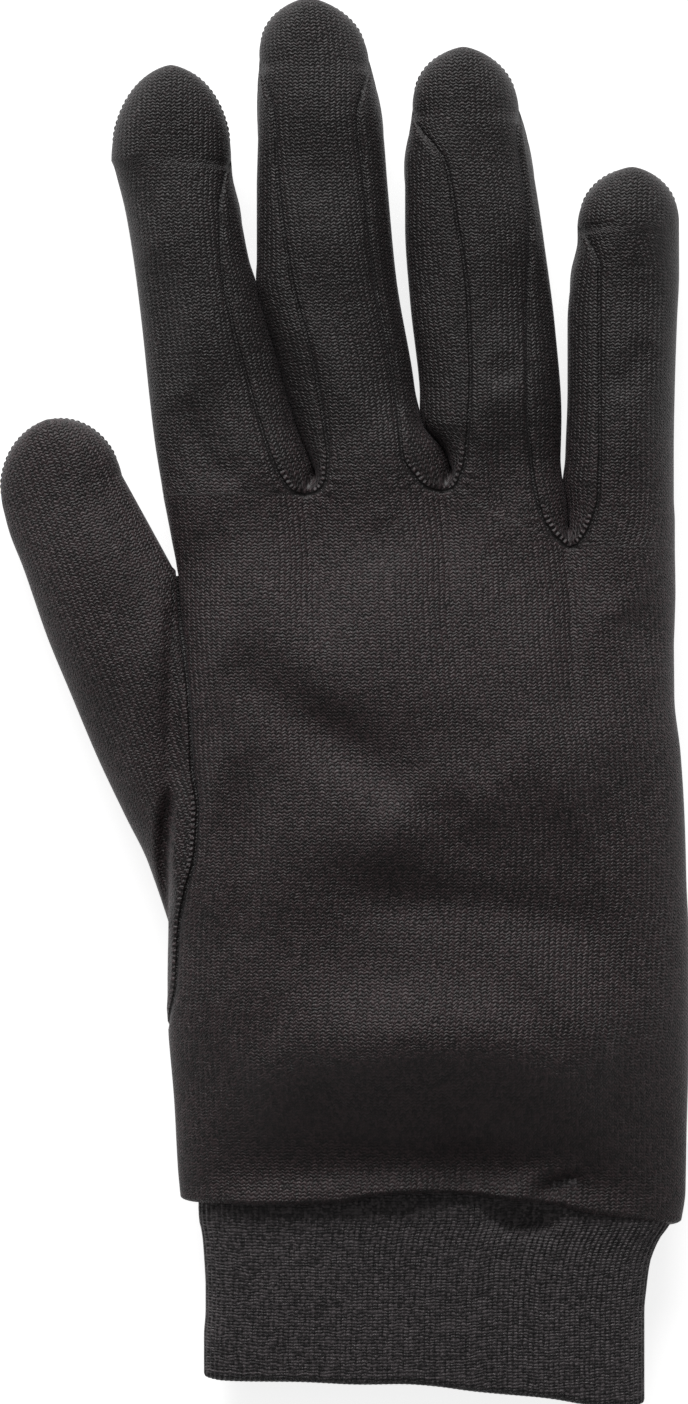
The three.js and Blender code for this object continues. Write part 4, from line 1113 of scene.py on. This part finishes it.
def cuff_marks(tree):
    """The marks at the cuff's lower edge, weighted as above: a lighter row of stitches, and painted shade
    along the fold.
    """
    fold = add(tree, "ShaderNodeAttribute", output="Fac", attribute_name="fold")
    stitch = {0: fold, 1: TOP_STITCH_PLACE, 2: TOP_STITCH_HALF_WIDTH}
    top_stitch = add(tree, MATH, stitch, operation="COMPARE")
    # Painted shade where the rib turns round the fold at the lower edge
    edge = {0: fold, 1: TURNED_EDGE_SHADE[0], 2: TURNED_EDGE_SHADE[1], 3: 1.0, 4: 0.0}
    turned_edge_painted_shade = add(tree, "ShaderNodeMapRange", edge)
    return [(top_stitch, 0.35, 0), (turned_edge_painted_shade, -0.5, 0)]


def knit_material(name, dark, light, gauge, loop_height, marks):
    """Fine knit: its tone and its height are weighted sums of the loops, a speck for each leg of a loop,
    the fuzz of the yarn, slow unevenness and the marks."""
    material = bpy.data.materials.new(name)
    material.use_nodes = True
    tree = material.node_tree
    tree.nodes.clear()
    cloth = add(tree, "ShaderNodeUVMap", uv_map="cloth")
    loop, speck = knit_loops(tree, cloth, *gauge)
    fuzz = add(tree, "ShaderNodeTexNoise", {"Vector": cloth, "Scale": 2.4, "Detail": 1.0, "Roughness": 0.6})
    broad = add(tree, "ShaderNodeTexNoise", {"Vector": cloth, "Scale": 0.06, "Detail": 3.0})
    tone = TONE_START
    for part, weight in zip((loop, speck, fuzz, broad), TONE_WEIGHTS):
        tone = add(tree, MATH, {0: part, 1: weight, 2: tone}, operation="MULTIPLY_ADD")
    height = loop
    for part, weight in zip((speck, fuzz), HEIGHT_WEIGHTS):
        height = add(tree, MATH, {0: part, 1: weight, 2: height}, operation="MULTIPLY_ADD")
    height = add(tree, MATH, {0: height, 1: loop_height}, operation="MULTIPLY")
    for mark, tone_weight, height_weight in marks(tree):
        tone = add(tree, MATH, {0: mark, 1: tone_weight, 2: tone}, operation="MULTIPLY_ADD")
        if height_weight:
            height = add(tree, MATH, {0: mark, 1: height_weight, 2: height}, operation="MULTIPLY_ADD")
    mixed = {0: tone, 6: linear(dark), 7: linear(light)}
    colour = add(tree, "ShaderNodeMix", mixed, output=2, data_type="RGBA")
    bump = add(tree, "ShaderNodeBump", {"Strength": 1.0, "Distance": MM, "Height": height})
    shader = add(tree, "ShaderNodeBsdfPrincipled", {
        "Base Color": colour, "Normal": bump, "Roughness": 0.55, "Specular IOR Level": 0.55,
        "Sheen Weight": 0.12, "Sheen Roughness": 0.4, "Sheen Tint": linear("#b4b1b6")})
    add(tree, "ShaderNodeOutputMaterial", {"Surface": shader})
    return material


def plain_material(name, colour, roughness):
    """A material of one colour, and its shader."""
    material = bpy.data.materials.new(name)
    material.use_nodes = True
    shader = material.node_tree.nodes["Principled BSDF"]
    shader.inputs["Base Color"].default_value = linear(colour)
    shader.inputs["Roughness"].default_value = roughness
    return material, shader


# Tricot, a fine warp knit of filament yarn dyed black: small slanting loops with a faint satin sheen, warm
# where it is dark. The real loops are 0.6 to 0.7 mm apart; they are drawn 1 mm wide, so that they show. The
# palm's copy is a little darker, painted shade because it lies in shade; the strips' copy is a little
# lighter, a painted sheen because their knit runs lengthwise.
TRICOT_GAUGE = (1.0, 0.64, 1.2)  # width and height of a loop in mm, and how steeply its legs slant
knit = knit_material("black_tricot", "#0e0606", "#3a2b2d", TRICOT_GAUGE, 0.125, sewn_marks)
# Painted shade: the palm's copy has a slightly darker light colour
palm_knit = knit_material("black_tricot_palm_painted_shade", "#0e0606", "#38292b", TRICOT_GAUGE, 0.125, sewn_marks)
# Painted sheen: the strips' copy is slightly lighter
strip_knit_painted_sheen = knit_material("black_tricot_strip_painted_sheen", "#0f0707", "#3b2c2e", TRICOT_GAUGE, 0.125, sewn_marks)
# Rib, an elastic knit of spun yarn dyed black: matt, greyer than the tricot, with courses 0.6 mm apart. Its
# coordinates across count ribs.
RIB_GAUGE = (1.0, 0.6, 0.5)
rib = knit_material("black_rib", "#1a1718", "#544e50", RIB_GAUGE, 0.12, cuff_marks)
# Overlock thread, crimped polyester dyed black: wound over the edge, it shows as soft beads
thread = plain_material("black_overlock_thread", "#1f1a19", 0.6)[0]

finishes = {
    "back_panel": (knit, "back_knit"), "palm_panel": (palm_knit, "palm_knit"),
    "fourchette_index_middle": (strip_knit_painted_sheen, "fourchette_knit"),
    "fourchette_middle_ring": (strip_knit_painted_sheen, "fourchette_knit"),
    "fourchette_ring_little": (strip_knit_painted_sheen, "fourchette_knit"),
    "thumb": (knit, "thumb_knit"), "rib_cuff": (rib, "rib_knit"),
}
for name, made in pieces.items():
    made.data.materials.append(finishes[name][0])
    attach(made, "root")
    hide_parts(name)
for name, made in threads.items():
    made.data.materials.append(thread)
    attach(made, "root")

# Floor: a sheet of bleached paper pressed smooth, matt, and lit evenly enough to look white all over
FLOOR_HALF = 3.0
corners = [(x * FLOOR_HALF, y * FLOOR_HALF, 0) for x, y in ((-1, -1), (1, -1), (1, 1), (-1, 1))]
floor_mesh = bpy.data.meshes.new("floor")
floor_mesh.from_pydata(corners, [], [(0, 1, 2, 3)])
floor = bpy.data.objects.new("floor", floor_mesh)
bpy.context.scene.collection.objects.link(floor)
paper, shader = plain_material("pale_paper", "#f4f4f4", 0.9)
shader.inputs["Emission Color"].default_value = linear("#ffffff")
shader.inputs["Emission Strength"].default_value = 0.75
floor_mesh.materials.append(paper)

# Light: an even pale sky, and one broad soft panel low behind the fingertips
PANEL_PLACE = Vector((-0.6, 3.7, 1.35))
PANEL_SIZE = (3.0, 1.2)
PANEL_POWER = 165
scene = bpy.context.scene
world = bpy.data.worlds.new("studio")
scene.world = world
world.use_nodes = True
background = world.node_tree.nodes["Background"]
background.inputs["Color"].default_value = (1, 1, 1, 1)
background.inputs["Strength"].default_value = 0.2
lamp_data = bpy.data.lights.new("key_panel", "AREA")
lamp_data.shape = "RECTANGLE"
lamp_data.size, lamp_data.size_y = PANEL_SIZE
lamp_data.energy = PANEL_POWER
lamp = bpy.data.objects.new("key_panel", lamp_data)
lamp.location = PANEL_PLACE
lamp.rotation_euler = (-PANEL_PLACE).to_track_quat("-Z", "Y").to_euler()
scene.collection.objects.link(lamp)

# Camera: straight above, with +Y up in the picture
LENS = 85
SENSOR = 36
FRAME_HEIGHT = 1404 * 0.182 * MM  # what the picture shows from top to bottom, at the glove's middle height
MIDDLE_HEIGHT = 0.007
camera_data = bpy.data.cameras.new("camera")
camera_data.lens = LENS
camera_data.sensor_width = SENSOR
camera = bpy.data.objects.new("camera", camera_data)
camera.location = (0, 0, MIDDLE_HEIGHT + FRAME_HEIGHT * LENS / SENSOR)
scene.collection.objects.link(camera)
scene.camera = camera
scene.view_settings.view_transform = "Standard"
